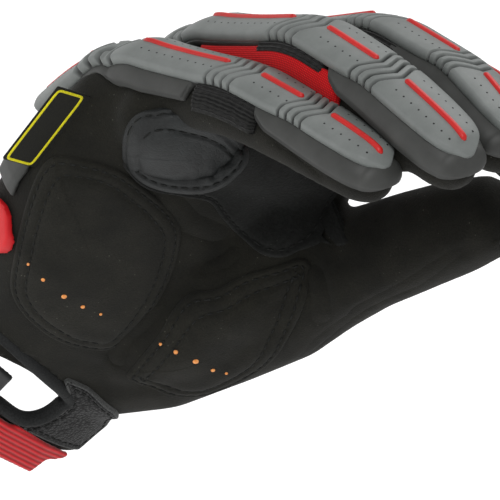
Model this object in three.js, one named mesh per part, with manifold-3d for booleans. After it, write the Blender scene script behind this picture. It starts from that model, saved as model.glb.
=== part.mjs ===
// Mechanic glove for the right hand, holding the shape of a hand round a large can.
// +Z runs from the wrist to the knuckles, -Y is the palm side and +X is the thumb side.
// The origin is the middle of the cuff's mouth, where a wrist or a forearm form goes in.
import * as THREE from 'three';
import { mergeVertices } from 'three/addons/utils/BufferGeometryUtils.js';
import Module from 'manifold-3d';

// Driving dimensions of the hand inside, mm
const PALM_LENGTH = 95;
const PALM_WIDTH = 84;
const PALM_DEPTH = 44;
const FINGER_LENGTH = 108;
const FINGER_WIDTH = 20;
const THUMB_WIDTH = 27;

// Driving dimensions of the glove, mm
const WALL = 1.8;
const GAP = 0.3;
const MESH_THICK = 0.9;
const KNIT_THICK = 1.1;
const PAD_THICK = 1.6;
const OVAL_THICK = 3.4;
const BASE_THICK = 1.3;
const GUARD_THICK = 1.9;
const BEAD_WIDTH = 1.8;
const BEAD_HEIGHT = 1.2;
const OVAL_LENGTH = 31;
const OVAL_WIDTH = 22;
const RIB_PITCH = 2.5;
const GROOVE_WIDTH = 1.4;
const GROOVE_DEPTH = 1.4;
const RIB_SLANT = 1.6;
const STRAP_THICK = 2.4;
const BINDING_WIDTH = 3.2;
const BINDING_THICK = 1.8;
const ELASTIC_THICK = 1.6;
const LABEL_LENGTH = 26;
const LABEL_WIDTH = 10.5;
const LABEL_THICK = 0.9;
const TAB_LENGTH = 26;
const TAB_WIDTH = 15;
const TAB_THICK = 2.4;
const OVAL_SPIN = 33;
const TAB_SPIN = 38;
const TAB_SHIFT = [1.5, -5];

// Middle of the cuff's mouth in the hand's own frame, and the slant of the mouth, degrees
const MOUTH = new THREE.Vector3(0.13 * PALM_WIDTH, 0, -0.35 * PALM_LENGTH);
const MOUTH_SLANT = 7;

const FINGER_SIDES = 12;
const PALM_SIDES = 22;
const FINGER_POWER = 2.3;
const PALM_POWER = 2.8;
const SIMPLIFY = 0.12;
const SHELL_SIMPLIFY = 0.2;
const SEAT_SIMPLIFY = 0.12;
const LINING_SIMPLIFY = 0.4;
const METACARPAL = 0.36;
const RIDGE_CURVE = 0.75;
const BEND = 14;

const wasm = await Module();
wasm.setup();

const rad = THREE.MathUtils.degToRad;
const lerp = THREE.MathUtils.lerp;

// Knuckle places as shares of PALM_WIDTH, PALM_DEPTH and PALM_LENGTH, angles in degrees, bones as
// shares of FINGER_LENGTH, and girth and crest, the height of the ridge on the back of the hand,
// as shares of FINGER_WIDTH
const FINGERS = [
  { name: 'pinky', x: -0.370, y: -0.36, z: 0.904, splay: 21, roll: 19, bends: [60, 13, 2],
    bones: [0.371, 0.226, 0.241], girth: 0.92, crest: 1.40 },
  { name: 'ring', x: -0.132, y: -0.28, z: 1.015, splay: 24.5, roll: 14, bends: [50, 24, 8],
    bones: [0.403, 0.268, 0.299], girth: 1.0, crest: 1.30 },
  { name: 'middle', x: 0.112, y: -0.15, z: 0.996, splay: 9, roll: 4, bends: [44, 24, 13],
    bones: [0.465, 0.287, 0.25], girth: 1.03, crest: 1.26 },
  { name: 'index', x: 0.369, y: -0.14, z: 0.958, splay: 0, roll: 0, bends: [43, 24, 13],
    bones: [0.417, 0.25, 0.25], girth: 1.02, crest: 1.35 },
];

// Places along a finger as shares of its length, half sizes as shares of FINGER_WIDTH
const FINGER_SECTIONS = [
  { at: -METACARPAL, wide: 0.42, up: 0.39, down: 0.40 },
  { at: -0.12, wide: 0.47, up: 0.43, down: 0.50 },
  { at: 0.02, wide: 0.49, up: 0.44, down: 0.55 },
  { at: 0.12, wide: 0.49, up: 0.39, down: 0.52 },
  { at: 0.26, wide: 0.47, up: 0.37, down: 0.49 },
  { at: 0.38, wide: 0.47, up: 0.37, down: 0.48 },
  { at: 0.50, wide: 0.47, up: 0.37, down: 0.48 },
  { at: 0.62, wide: 0.46, up: 0.36, down: 0.47 },
  { at: 0.72, wide: 0.45, up: 0.35, down: 0.46 },
  { at: 0.84, wide: 0.43, up: 0.32, down: 0.45 },
  { at: 0.93, wide: 0.38, up: 0.28, down: 0.42 },
  { at: 0.98, wide: 0.27, up: 0.20, down: 0.32 },
  { at: 1.00, wide: 0.14, up: 0.10, down: 0.16 },
];

// Places as shares of PALM_WIDTH, PALM_DEPTH and PALM_LENGTH, sizes as shares of THUMB_WIDTH
const THUMB_SECTIONS = [
  { x: 0.31, y: -0.20, z: -0.12, wide: 0.54, deep: 0.48 },
  { x: 0.39, y: -0.34, z: 0.06, wide: 0.70, deep: 0.60 },
  { x: 0.46, y: -0.50, z: 0.28, wide: 0.74, deep: 0.64 },
  { x: 0.52, y: -0.68, z: 0.47, wide: 0.70, deep: 0.62 },
  { x: 0.54, y: -0.82, z: 0.62, wide: 0.60, deep: 0.56 },
  { x: 0.56, y: -0.97, z: 0.76, wide: 0.53, deep: 0.50 },
  { x: 0.59, y: -1.14, z: 0.92, wide: 0.50, deep: 0.47 },
  { x: 0.61, y: -1.28, z: 1.04, wide: 0.47, deep: 0.44 },
  { x: 0.63, y: -1.42, z: 1.16, wide: 0.40, deep: 0.36 },
  { x: 0.64, y: -1.47, z: 1.20, wide: 0.22, deep: 0.20 },
];

// The ball of the thumb, which ramps from the palm up to the thumb
const THENAR_SECTIONS = [
  { x: 0.24, y: -0.26, z: -0.06, wide: 0.34, deep: 0.26 },
  { x: 0.26, y: -0.34, z: 0.06, wide: 0.56, deep: 0.46 },
  { x: 0.30, y: -0.48, z: 0.26, wide: 0.70, deep: 0.56 },
  { x: 0.32, y: -0.58, z: 0.46, wide: 0.70, deep: 0.54 },
  { x: 0.35, y: -0.56, z: 0.64, wide: 0.62, deep: 0.44 },
  { x: 0.38, y: -0.50, z: 0.76, wide: 0.42, deep: 0.26 },
];

// The roll of leather across the palm below the bent knuckles, from the little finger to the thumb side
const ROLL_SECTIONS = [
  { x: -0.46, y: -0.50, z: 0.90, wide: 0.18, deep: 0.18 },
  { x: -0.41, y: -0.58, z: 0.90, wide: 0.38, deep: 0.40 },
  { x: -0.26, y: -0.56, z: 0.89, wide: 0.46, deep: 0.46 },
  { x: 0.00, y: -0.46, z: 0.88, wide: 0.48, deep: 0.46 },
  { x: 0.25, y: -0.42, z: 0.86, wide: 0.48, deep: 0.46 },
  { x: 0.44, y: -0.42, z: 0.82, wide: 0.44, deep: 0.42 },
  { x: 0.55, y: -0.38, z: 0.78, wide: 0.24, deep: 0.24 },
];

// Heights as shares of PALM_LENGTH, middles and edges as shares of PALM_WIDTH and PALM_DEPTH, and
// roll in degrees, which leans the back toward the little finger
const PALM_SECTIONS = [
  { z: -0.54, x: 0.13, y: 0.00, roll: 0, ulnar: 0.39, radial: 0.36, back: 0.43, palm: 0.43 },
  { z: -0.30, x: 0.13, y: -0.02, roll: 0, ulnar: 0.38, radial: 0.37, back: 0.41, palm: 0.43 },
  { z: -0.13, x: 0.13, y: -0.05, roll: 0, ulnar: 0.38, radial: 0.41, back: 0.39, palm: 0.43 },
  { z: 0.00, x: 0.12, y: -0.07, roll: 3, ulnar: 0.40, radial: 0.45, back: 0.38, palm: 0.46 },
  { z: 0.14, x: 0.09, y: -0.10, roll: 6, ulnar: 0.46, radial: 0.48, back: 0.40, palm: 0.50 },
  { z: 0.30, x: 0.06, y: -0.14, roll: 9, ulnar: 0.51, radial: 0.52, back: 0.43, palm: 0.52 },
  { z: 0.48, x: 0.02, y: -0.16, roll: 12, ulnar: 0.53, radial: 0.55, back: 0.43, palm: 0.50 },
  { z: 0.66, x: 0.01, y: -0.18, roll: 14, ulnar: 0.53, radial: 0.58, back: 0.42, palm: 0.48 },
  { z: 0.82, x: 0.00, y: -0.18, roll: 14, ulnar: 0.51, radial: 0.60, back: 0.38, palm: 0.48 },
  { z: 0.92, x: 0.00, y: -0.18, roll: 14, ulnar: 0.48, radial: 0.57, back: 0.28, palm: 0.42 },
  { z: 0.98, x: 0.00, y: -0.18, roll: 14, ulnar: 0.39, radial: 0.48, back: 0.13, palm: 0.30 },
];

function makeSolid(geometry) {
  const bare = geometry.clone();
  bare.deleteAttribute('normal');
  bare.deleteAttribute('uv');
  const merged = mergeVertices(bare, 1e-5);
  return new wasm.Manifold(new wasm.Mesh({
    numProp: 3,
    vertProperties: new Float32Array(merged.attributes.position.array),
    triVerts: new Uint32Array(merged.index.array),
  }));
}

// The largest of a body's separate pieces
function whole(solid) {
  const pieces = solid.decompose();
  return pieces.reduce((best, piece) => (piece.volume() > best.volume() ? piece : best), pieces[0]);
}

function toGeometry(solid, tolerance) {
  const mesh = whole(solid.simplify(tolerance)).getMesh();
  const geometry = new THREE.BufferGeometry();
  geometry.setAttribute('position', new THREE.BufferAttribute(new Float32Array(mesh.vertProperties), 3));
  geometry.setIndex(Array.from(mesh.triVerts));
  return geometry;
}

// A closed body through rings of points, each ring with the same count, capped by fans
function loft(rings) {
  const count = rings[0].length;
  const middle = (points) => points.reduce((sum, p) => sum.add(p), new THREE.Vector3()).divideScalar(count);
  const points = [...rings.flat(), middle(rings[0]), middle(rings[rings.length - 1])];
  const first = rings.length * count;
  const last = first + 1;
  const index = [];
  for (let j = 0; j < count; j += 1) {
    const k = (j + 1) % count;
    for (let i = 0; i < rings.length - 1; i += 1) {
      const a = i * count + j;
      const b = i * count + k;
      index.push(a, a + count, b, b, a + count, b + count);
    }
    const end = (rings.length - 1) * count;
    index.push(first, j, k, last, end + k, end + j);
  }
  const geometry = new THREE.BufferGeometry().setFromPoints(points);
  geometry.setIndex(index);
  return geometry;
}

// Point of a rounded section: half sizes toward side, against side, up and down
function sectionPoint(frame, sizes, angle, power) {
  const c = Math.cos(angle);
  const s = Math.sin(angle);
  const across = Math.sign(c) * Math.abs(c) ** (2 / power) * (c > 0 ? sizes.side : sizes.against);
  const high = Math.sign(s) * Math.abs(s) ** (2 / power) * (s > 0 ? sizes.up : sizes.down);
  const lean = (frame.roll || 0) * (1 + s) / 2;
  return frame.point.clone()
    .addScaledVector(frame.side, across * Math.cos(lean) + high * Math.sin(lean))
    .addScaledVector(frame.up, high * Math.cos(lean) - across * Math.sin(lean));
}

function ring(frame, sizes, count, power) {
  return Array.from({ length: count }, (_, j) => (
    sectionPoint(frame, sizes, (j / count) * 2 * Math.PI, power)));
}

const fingerLength = (finger) => finger.bones.reduce((sum, bone) => sum + bone, 0) * FINGER_LENGTH;
const jointShare = (finger, k) => (
  finger.bones.slice(0, k).reduce((sum, bone) => sum + bone, 0) * FINGER_LENGTH / fingerLength(finger));

// Place and directions on a finger's bone line, which bends smoothly over BEND mm at each joint
function fingerFrame(finger, distance) {
  const splay = rad(finger.splay);
  const roll = rad(finger.roll);
  const along = new THREE.Vector3(-Math.sin(splay), 0, Math.cos(splay));
  const ulnar = new THREE.Vector3(-Math.cos(splay), 0, -Math.sin(splay));
  const dorsal = new THREE.Vector3(0, Math.cos(roll), 0).addScaledVector(ulnar, Math.sin(roll));
  const side = ulnar.clone().multiplyScalar(Math.cos(roll)).add(new THREE.Vector3(0, -Math.sin(roll), 0));
  const bendAt = (s) => finger.bends.reduce((sum, bend, k) => {
    const t = (s - jointShare(finger, k) * fingerLength(finger)) / BEND + 0.5;
    return sum + rad(bend) * THREE.MathUtils.clamp(t, 0, 1);
  }, 0);
  const point = new THREE.Vector3(finger.x * PALM_WIDTH, finger.y * PALM_DEPTH, finger.z * PALM_LENGTH);
  const steps = Math.max(1, Math.ceil(Math.abs(distance)));
  const step = distance / steps;
  for (let i = 0; i < steps; i += 1) {
    const angle = bendAt((i + 0.5) * step);
    point.addScaledVector(along, step * Math.cos(angle));
    point.addScaledVector(dorsal, -step * Math.sin(angle));
  }
  const angle = bendAt(distance);
  const up = dorsal.clone().multiplyScalar(Math.cos(angle)).addScaledVector(along, Math.sin(angle));
  return { point, up, side };
}

// Half sizes of a finger at a share of its length, grown by lift, with the ridge on the hand's back
function fingerSizes(finger, share, lift) {
  const found = FINGER_SECTIONS.findIndex((row) => row.at >= share);
  const k = found < 0 ? FINGER_SECTIONS.length - 1 : Math.max(1, found);
  const low = FINGER_SECTIONS[k - 1];
  const high = FINGER_SECTIONS[k];
  const t = THREE.MathUtils.clamp((share - low.at) / (high.at - low.at), 0, 1);
  const width = FINGER_WIDTH * finger.girth;
  const size = (column) => Math.max(1, lerp(low[column], high[column], t) * width + lift);
  const rise = (finger.crest - low.up) * FINGER_WIDTH;
  const ridge = share < 0 ? rise * (share / -METACARPAL) ** RIDGE_CURVE : 0;
  return { side: size('wide'), against: size('wide'), up: size('up') + ridge, down: size('down') };
}

// Point over a finger, turned from its back toward the little-finger side, degrees
function fingerPoint(finger, share, turn, lift) {
  const past = share >= 1 ? lift : 0;
  const frame = fingerFrame(finger, share * fingerLength(finger) + past);
  return sectionPoint(frame, fingerSizes(finger, share, lift), rad(90 - turn), FINGER_POWER);
}

function fingerSolid(finger, lift) {
  const rings = FINGER_SECTIONS.map((row) => {
    const past = row.at >= 1 ? lift : 0;
    const frame = fingerFrame(finger, row.at * fingerLength(finger) + past);
    return ring(frame, fingerSizes(finger, row.at, lift), FINGER_SIDES, FINGER_POWER);
  });
  return makeSolid(loft(rings));
}

// A body lofted along a bent line of middles, with `toward` as the rough direction of its depth
function bulge(sections, width, lift, toward) {
  const middles = sections.map((row) => (
    new THREE.Vector3(row.x * PALM_WIDTH, row.y * PALM_DEPTH, row.z * PALM_LENGTH)));
  const end = sections.length - 1;
  const rings = sections.map((row, k) => {
    const ahead = middles[Math.min(end, k + 1)].clone().sub(middles[Math.max(0, k - 1)]).normalize();
    const up = toward.clone().addScaledVector(ahead, -toward.dot(ahead)).normalize();
    const side = new THREE.Vector3().crossVectors(ahead, up);
    const shift = (k === end ? lift : 0) - (k === 0 ? lift : 0);
    const point = middles[k].clone().addScaledVector(ahead, shift);
    const wide = Math.max(1, row.wide * width + lift);
    const deep = Math.max(1, row.deep * width + lift);
    return ring({ point, side, up }, { side: wide, against: wide, up: deep, down: deep },
      FINGER_SIDES, FINGER_POWER);
  });
  return makeSolid(loft(rings));
}

function palmSolid(lift) {
  const end = PALM_SECTIONS.length - 1;
  const rings = PALM_SECTIONS.map((row, k) => {
    const z = row.z * PALM_LENGTH + (k === end ? lift : 0);
    const frame = {
      point: new THREE.Vector3(row.x * PALM_WIDTH, row.y * PALM_DEPTH, z),
      side: new THREE.Vector3(-1, 0, 0),
      up: new THREE.Vector3(0, 1, 0),
      roll: rad(row.roll),
    };
    const sizes = {
      side: row.ulnar * PALM_WIDTH + lift,
      against: row.radial * PALM_WIDTH + lift,
      up: row.back * PALM_DEPTH + lift,
      down: row.palm * PALM_DEPTH + lift,
    };
    return ring(frame, sizes, PALM_SIDES, PALM_POWER);
  });
  return makeSolid(loft(rings));
}

// The whole outer form of the hand, grown or shrunk by lift
function handForm(lift) {
  const thumbBack = new THREE.Vector3(1, 0.25, -0.2);
  const palmFace = new THREE.Vector3(0, -1, 0);
  return FINGERS.reduce((solid, finger) => solid.add(fingerSolid(finger, lift)), palmSolid(lift))
    .add(bulge(THUMB_SECTIONS, THUMB_WIDTH, lift, thumbBack))
    .add(bulge(THENAR_SECTIONS, THUMB_WIDTH, lift, thumbBack))
    .add(bulge(ROLL_SECTIONS, THUMB_WIDTH, lift, palmFace));
}

const group = new THREE.Group();

function addNode(name, solid, colour, roughness, tolerance = SIMPLIFY) {
  const material = new THREE.MeshStandardMaterial({ color: colour, roughness, metalness: 0 });
  const mesh = new THREE.Mesh(toGeometry(solid, tolerance), material);
  mesh.name = name;
  mesh.position.copy(MOUTH).negate();
  group.add(mesh);
}

const skin = handForm(0);
const skinClear = handForm(GAP).simplify(SEAT_SIMPLIFY);
const lining = handForm(-WALL).simplify(LINING_SIMPLIFY);

// A prism through an outline of [u, v] pairs in mm, drawn on a plane through `middle` that faces
// `turn` degrees from the palm toward the little finger and `tip` degrees up to the fingers
function prism(outline, middle, turn, tip, reach) {
  const shape = new THREE.Shape(outline.map(([u, v]) => new THREE.Vector2(u, v)));
  const geometry = new THREE.ExtrudeGeometry(shape, { depth: 2 * reach, bevelEnabled: false });
  geometry.translate(0, 0, -reach);
  geometry.rotateX(Math.PI / 2);
  geometry.rotateX(rad(-tip));
  geometry.rotateZ(rad(-turn));
  geometry.translate(middle.x, middle.y, middle.z);
  return makeSolid(geometry);
}

// Outlines are rows of u and v, as shares of PALM_WIDTH and PALM_LENGTH
const outlineOf = (rows) => rows.map((row) => [row.u * PALM_WIDTH, row.v * PALM_LENGTH]);

// A closed smooth line through a few points
function smoothed(points, count) {
  const curve = new THREE.CatmullRomCurve3(points.map(([u, v]) => new THREE.Vector3(u, v, 0)), true);
  return curve.getPoints(count).slice(0, count).map((p) => [p.x, p.y]);
}

// An outline moved outward by a distance; its points run anticlockwise
function grown(points, distance) {
  return points.map((p, k) => {
    const before = points[(k + points.length - 1) % points.length];
    const after = points[(k + 1) % points.length];
    const along = new THREE.Vector2(after[0] - before[0], after[1] - before[1]).normalize();
    return [p[0] + along.y * distance, p[1] - along.x * distance];
  });
}

// A rounded bar shape, spun by degrees
function lozenge(length, width, round, spin, count = 20) {
  const c = Math.cos(rad(spin));
  const s = Math.sin(rad(spin));
  return Array.from({ length: count }, (_, k) => {
    const angle = (k + 0.5) / count * 2 * Math.PI;
    const u = Math.sign(Math.cos(angle)) * Math.abs(Math.cos(angle)) ** (2 / round) * length / 2;
    const v = Math.sign(Math.sin(angle)) * Math.abs(Math.sin(angle)) ** (2 / round) * width / 2;
    return [u * c - v * s, u * s + v * c];
  });
}

const place = (x, y, z) => new THREE.Vector3(x * PALM_WIDTH, y * PALM_DEPTH, z * PALM_LENGTH);

// A strip along a finger. Each row has its place as a share of the finger, its edges as turns in
// degrees toward the little finger and toward the thumb, and its height; columns of `profile` are
// shares of the turn and of the height.
function strip(finger, rows, profile, floor) {
  const rings = rows.map((row) => {
    const turnOf = (share) => (share > 0 ? row.ulnar * share : row.radial * share);
    const slip = (share) => row.at - (row.slant || 0) * Math.abs(share) / fingerLength(finger);
    const over = profile.map(({ turn, high }) => (
      fingerPoint(finger, slip(turn), turnOf(turn), lerp(row.edge, row.lift, high))));
    const under = profile.filter(({ seat }) => seat).reverse()
      .map(({ turn }) => fingerPoint(finger, slip(turn), turnOf(turn), floor));
    return [...over, ...under];
  });
  return makeSolid(loft(rings));
}

const SOFT_PROFILE = [
  { turn: 1, high: 0, seat: true },
  { turn: 0.9, high: 1 },
  { turn: 0.5, high: 1, seat: true },
  { turn: 0, high: 1, seat: true },
  { turn: -0.5, high: 1, seat: true },
  { turn: -0.9, high: 1 },
  { turn: -1, high: 0, seat: true },
];

const GUARD_PROFILE = [
  { turn: 1, high: 0, seat: true },
  { turn: 0.62, high: 0.9 },
  { turn: 0.2, high: 1, seat: true },
  { turn: -0.2, high: 1, seat: true },
  { turn: -0.62, high: 0.9 },
  { turn: -1, high: 0, seat: true },
];

// Dark rubber base: the spine under the guard, and the wings that run down the sides of the finger,
// each with its places along the finger and the turn of its lower edge, degrees
const BASE_SPINE = [
  { at: -0.33, turn: 50 },
  { at: -0.15, turn: 50 },
  { at: -0.07, turn: 50 },
  { at: 0.00, turn: 50 },
  { at: 0.06, turn: 50 },
  { at: 0.12, turn: 50 },
  { at: 0.26, turn: 50 },
  { at: 0.38, turn: 50 },
  { at: 0.50, turn: 50 },
  { at: 0.62, turn: 50 },
  { at: 0.74, turn: 50 },
  { at: 0.86, turn: 50 },
  { at: 0.94, turn: 52 },
  { at: 1.00, turn: 60 },
];
const OUTSIDE_WING = [
  { at: -0.02, turn: 62 },
  { at: 0.03, turn: 80 },
  { at: 0.12, turn: 84 },
  { at: 0.22, turn: 84 },
  { at: 0.30, turn: 80 },
];
const TIP_WING = [
  { at: 0.57, turn: 62 },
  { at: 0.63, turn: 78 },
  { at: 0.74, turn: 86 },
  { at: 0.86, turn: 92 },
  { at: 0.94, turn: 94 },
  { at: 1.00, turn: 96 },
];

// Light rubber guard: its places along the finger, half width as a turn in degrees, and height
const GUARD_ROWS = [
  { at: -0.32, turn: 34, high: 0.5 },
  { at: -0.30, turn: 42, high: 1 },
  { at: 0.45, turn: 44, high: 1 },
  { at: 0.90, turn: 41, high: 1 },
  { at: 0.97, turn: 34, high: 0.9 },
  { at: 0.99, turn: 24, high: 0.5 },
];

const RIBS = 4;
const WING_TOP = 40;
const WING_SINK = 0.8;
const WING_STEP = 0.15;
const BASE_EDGE = 0.4;
const BEAD_END = 0.975;

// A panel down one side of a finger, from the turn `high` to each row's own turn, in degrees;
// hand is 1 on the little-finger side and -1 on the thumb side
function sidePanel(finger, rows, high, thick, hand) {
  const steps = [0, 0.33, 0.67, 1];
  const rings = rows.map((row) => {
    const turns = steps.map((step) => hand * lerp(high, row.turn, step));
    const over = turns.map((turn) => fingerPoint(finger, row.at, turn, GAP + thick));
    const under = [...turns].reverse().map((turn) => fingerPoint(finger, row.at, turn, -WING_SINK));
    const points = [...over, ...under];
    return hand > 0 ? points.reverse() : points;
  });
  return makeSolid(loft(rings));
}

// The base of a finger, grown by extra all over
function baseSolid(finger, extra) {
  const rows = BASE_SPINE.map((row) => ({
    at: row.at,
    ulnar: row.turn + 2 * extra,
    radial: row.turn + 2 * extra,
    edge: GAP + BASE_THICK * BASE_EDGE + extra,
    lift: GAP + BASE_THICK + extra,
  }));
  const wings = [{ rows: TIP_WING, hand: 1 }, { rows: TIP_WING, hand: -1 }];
  if (finger.name === 'pinky') wings.push({ rows: OUTSIDE_WING, hand: 1 });
  return wings.reduce((solid, wing) => {
    const grownRows = wing.rows.map((row) => ({ at: row.at, turn: row.turn + 2 * extra }));
    return solid.add(sidePanel(finger, grownRows, WING_TOP, BASE_THICK - WING_STEP + extra, wing.hand));
  }, strip(finger, rows, SOFT_PROFILE, -WING_SINK));
}

// Grooves between the ribs cut down over each joint, as places along the finger in mm
function grooves(finger) {
  return [0, 1, 2].flatMap((k) => {
    const joint = jointShare(finger, k) * fingerLength(finger);
    return Array.from({ length: RIBS }, (_, i) => joint + (i - (RIBS - 1) / 2) * RIB_PITCH);
  });
}

function guardRows(finger, floor, extra) {
  const length = fingerLength(finger);
  const cuts = grooves(finger);
  const places = GUARD_ROWS.map((row) => row.at * length)
    .filter((s) => cuts.every((cut) => Math.abs(cut - s) > RIB_PITCH));
  for (const cut of cuts) places.push(cut - GROOVE_WIDTH / 2, cut, cut + GROOVE_WIDTH / 2);
  places.sort((a, b) => a - b);
  return places.map((s) => {
    const share = s / length;
    const found = GUARD_ROWS.findIndex((row) => row.at >= share);
    const k = found < 0 ? GUARD_ROWS.length - 1 : Math.max(1, found);
    const t = (share - GUARD_ROWS[k - 1].at) / (GUARD_ROWS[k].at - GUARD_ROWS[k - 1].at);
    const turn = lerp(GUARD_ROWS[k - 1].turn, GUARD_ROWS[k].turn, t) + 2 * extra;
    const high = lerp(GUARD_ROWS[k - 1].high, GUARD_ROWS[k].high, t);
    const cut = cuts.includes(s) && extra === 0 ? GROOVE_DEPTH : 0;
    const near = cuts.some((middle) => Math.abs(middle - s) < RIB_PITCH);
    const lift = floor + GUARD_THICK * high - cut + extra;
    const slant = near ? RIB_SLANT : 0;
    return { at: share, ulnar: turn, radial: turn, edge: floor + 0.4 + extra, lift, slant };
  });
}

const guardFloor = GAP + BASE_THICK + 2 * GAP;
const guardSolid = (finger, extra) => (
  strip(finger, guardRows(finger, guardFloor, extra), GUARD_PROFILE, guardFloor - extra));

// A raised half-round line along the middle of a guard
function bead(finger, from, to, height) {
  const stations = 4;
  const sides = 5;
  const rings = Array.from({ length: stations }, (_, i) => {
    const share = lerp(from, to, i / (stations - 1));
    const frame = fingerFrame(finger, share * fingerLength(finger));
    const over = fingerSizes(finger, share, height).up;
    return Array.from({ length: sides }, (_unused, j) => {
      const angle = (j / sides) * 2 * Math.PI;
      return frame.point.clone()
        .addScaledVector(frame.side, Math.cos(angle) * BEAD_WIDTH / 2)
        .addScaledVector(frame.up, over + BEAD_HEIGHT / 2 * (1 + Math.sin(angle)));
    });
  });
  return makeSolid(loft(rings));
}

const COLOURS = {
  leather: '#22231e', base: '#4a4a48', guard: '#7b7f7c', red: '#d92b27', knit: '#1c1c1b', mesh: '#d8202a',
  pad: '#24251f', patch: '#2b2d2b', trim: '#2e2f2e', loop: '#161616', label: '#1b1a12',
};

// Each finger keeps clear of the pieces of the fingers before it
const CLEARANCE = 1.5 * GAP;
let taken = skinClear;
const clear = (solid) => whole(solid.subtract(taken));

for (const finger of FINGERS) {
  addNode(`${finger.name}_guard_base`, clear(baseSolid(finger, 0)), COLOURS.base, 0.6);
  const guard = guardSolid(finger, 0).subtract(baseSolid(finger, GAP / 2));
  addNode(`${finger.name}_guard`, clear(guard), COLOURS.guard, 0.5);
  const length = fingerLength(finger);
  const ribSpan = ((RIBS - 1) / 2 * RIB_PITCH + GROOVE_WIDTH / 2 + GAP) / length;
  const height = guardFloor + GUARD_THICK + GAP;
  const lines = [
    { name: 'metacarpal', from: -0.28, to: -ribSpan },
    { name: 'proximal', from: ribSpan, to: jointShare(finger, 1) - ribSpan },
    { name: 'middle', from: jointShare(finger, 1) + ribSpan, to: jointShare(finger, 2) - ribSpan },
    { name: 'distal', from: jointShare(finger, 2) + ribSpan, to: BEAD_END },
  ];
  for (const line of lines) {
    addNode(`${finger.name}_bead_${line.name}`, bead(finger, line.from, line.to, height), COLOURS.red, 0.4);
  }
  taken = taken.add(baseSolid(finger, CLEARANCE)).add(guardSolid(finger, CLEARANCE));
}

// Soft panels beside the fingers: knit at the middle joint, red mesh between the fingers
const KNIT_REACH = { before: 0.10, after: 0.12, top: 53, low: 64, outside: 90 };
const MESH_REACH = { from: 0.06, to: 0.56, top: 67, low: 130 };
const panelRows = (from, to, turn) => (
  Array.from({ length: 5 }, (_, i) => ({ at: lerp(from, to, i / 4), turn })));

for (const [k, finger] of FINGERS.entries()) {
  const joint = jointShare(finger, 1);
  const low = k === 0 ? KNIT_REACH.outside : KNIT_REACH.low;
  const knitRows = panelRows(joint - KNIT_REACH.before, joint + KNIT_REACH.after, low);
  const knit = sidePanel(finger, knitRows, KNIT_REACH.top, KNIT_THICK, 1);
  addNode(`${finger.name}_knit_panel`, clear(knit), COLOURS.knit, 0.95);
  if (k > 0) {
    const meshRows = panelRows(MESH_REACH.from, MESH_REACH.to, MESH_REACH.low);
    const mesh = sidePanel(finger, meshRows, MESH_REACH.top, MESH_THICK, 1);
    addNode(`${finger.name}_side_mesh`, clear(mesh), COLOURS.mesh, 0.8);
  }
}

// Pads and trim on the palm and the wrist

// A flat piece laid on the shell: outline in mm on a facing plane, thickness, height it starts at
function laid(face, outline, thick, start = GAP) {
  const under = start === GAP ? skinClear : handForm(start);
  const slab = handForm(start + thick).subtract(under);
  return slab.intersect(prism(outline, face.middle, face.turn, face.tip, face.reach));
}

const FACES = {
  heel: { middle: place(0, -0.50, 0), turn: 25, tip: 0, reach: 22 },
  thumb: { middle: place(0, -0.86, 0), turn: 10, tip: 0, reach: 20 },
  knuckle: { middle: place(0, -0.68, 0), turn: 0, tip: 0, reach: 16 },
  oval: { middle: place(-0.293, -0.82, 0.884), turn: 44, tip: 26, reach: 10 },
  wrist: { middle: place(0, -0.50, 0), turn: 0, tip: 0, reach: 14 },
  strap: { middle: place(-0.179, -0.34, -0.158), turn: 50, tip: 0, reach: 14 },
  side: { middle: place(-0.464, -0.136, 0.326), turn: 90, tip: 0, reach: 12 },
};

const HEEL_PAD = [
    { u: -0.468, v: 0.632 }, { u: -0.349, v: 0.695 }, { u: -0.206, v: 0.684 },
    { u: -0.015, v: 0.611 }, { u: 0.074, v: 0.505 }, { u: 0.133, v: 0.337 }, { u: 0.145, v: 0.137 },
    { u: 0.071, v: 0.074 }, { u: -0.087, v: 0.074 }, { u: -0.277, v: 0.147 },
    { u: -0.373, v: 0.284 }, { u: -0.468, v: 0.505 },
];
const THUMB_PAD = [
    { u: 0.179, v: 0.073 }, { u: 0.219, v: 0.040 }, { u: 0.283, v: 0.047 }, { u: 0.385, v: 0.065 },
    { u: 0.464, v: 0.132 }, { u: 0.500, v: 0.304 }, { u: 0.461, v: 0.467 }, { u: 0.424, v: 0.581 },
    { u: 0.371, v: 0.684 }, { u: 0.248, v: 0.578 }, { u: 0.190, v: 0.478 }, { u: 0.143, v: 0.354 },
];
const KNUCKLE_PAD = [
    { u: -0.357, v: 0.747 }, { u: -0.310, v: 0.700 }, { u: -0.202, v: 0.677 },
    { u: -0.012, v: 0.699 }, { u: 0.095, v: 0.658 }, { u: 0.207, v: 0.619 }, { u: 0.298, v: 0.653 },
    { u: 0.386, v: 0.741 }, { u: 0.417, v: 0.821 }, { u: 0.393, v: 0.905 }, { u: 0.238, v: 0.947 },
    { u: 0.000, v: 0.958 }, { u: -0.167, v: 0.947 }, { u: -0.286, v: 0.905 },
];
const WINDOW = [
    { u: 0.131, v: -0.144 }, { u: -0.193, v: -0.040 }, { u: -0.226, v: -0.084 },
    { u: -0.214, v: -0.211 }, { u: -0.043, v: -0.239 }, { u: 0.069, v: -0.258 },
    { u: 0.150, v: -0.199 },
];
const LOOP_PATCH = [
    { u: 0.083, v: -0.289 }, { u: 0.238, v: -0.326 }, { u: 0.393, v: -0.358 },
    { u: 0.435, v: -0.263 }, { u: 0.363, v: -0.153 }, { u: 0.321, v: -0.126 },
    { u: 0.190, v: -0.100 }, { u: 0.119, v: -0.089 },
];
const ELASTIC = [
    { u: -0.357, v: -0.337 }, { u: 0.107, v: -0.429 }, { u: 0.250, v: -0.457 },
    { u: 0.274, v: -0.400 }, { u: 0.333, v: -0.389 }, { u: 0.357, v: -0.372 },
    { u: 0.083, v: -0.298 }, { u: -0.357, v: -0.211 },
];
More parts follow.
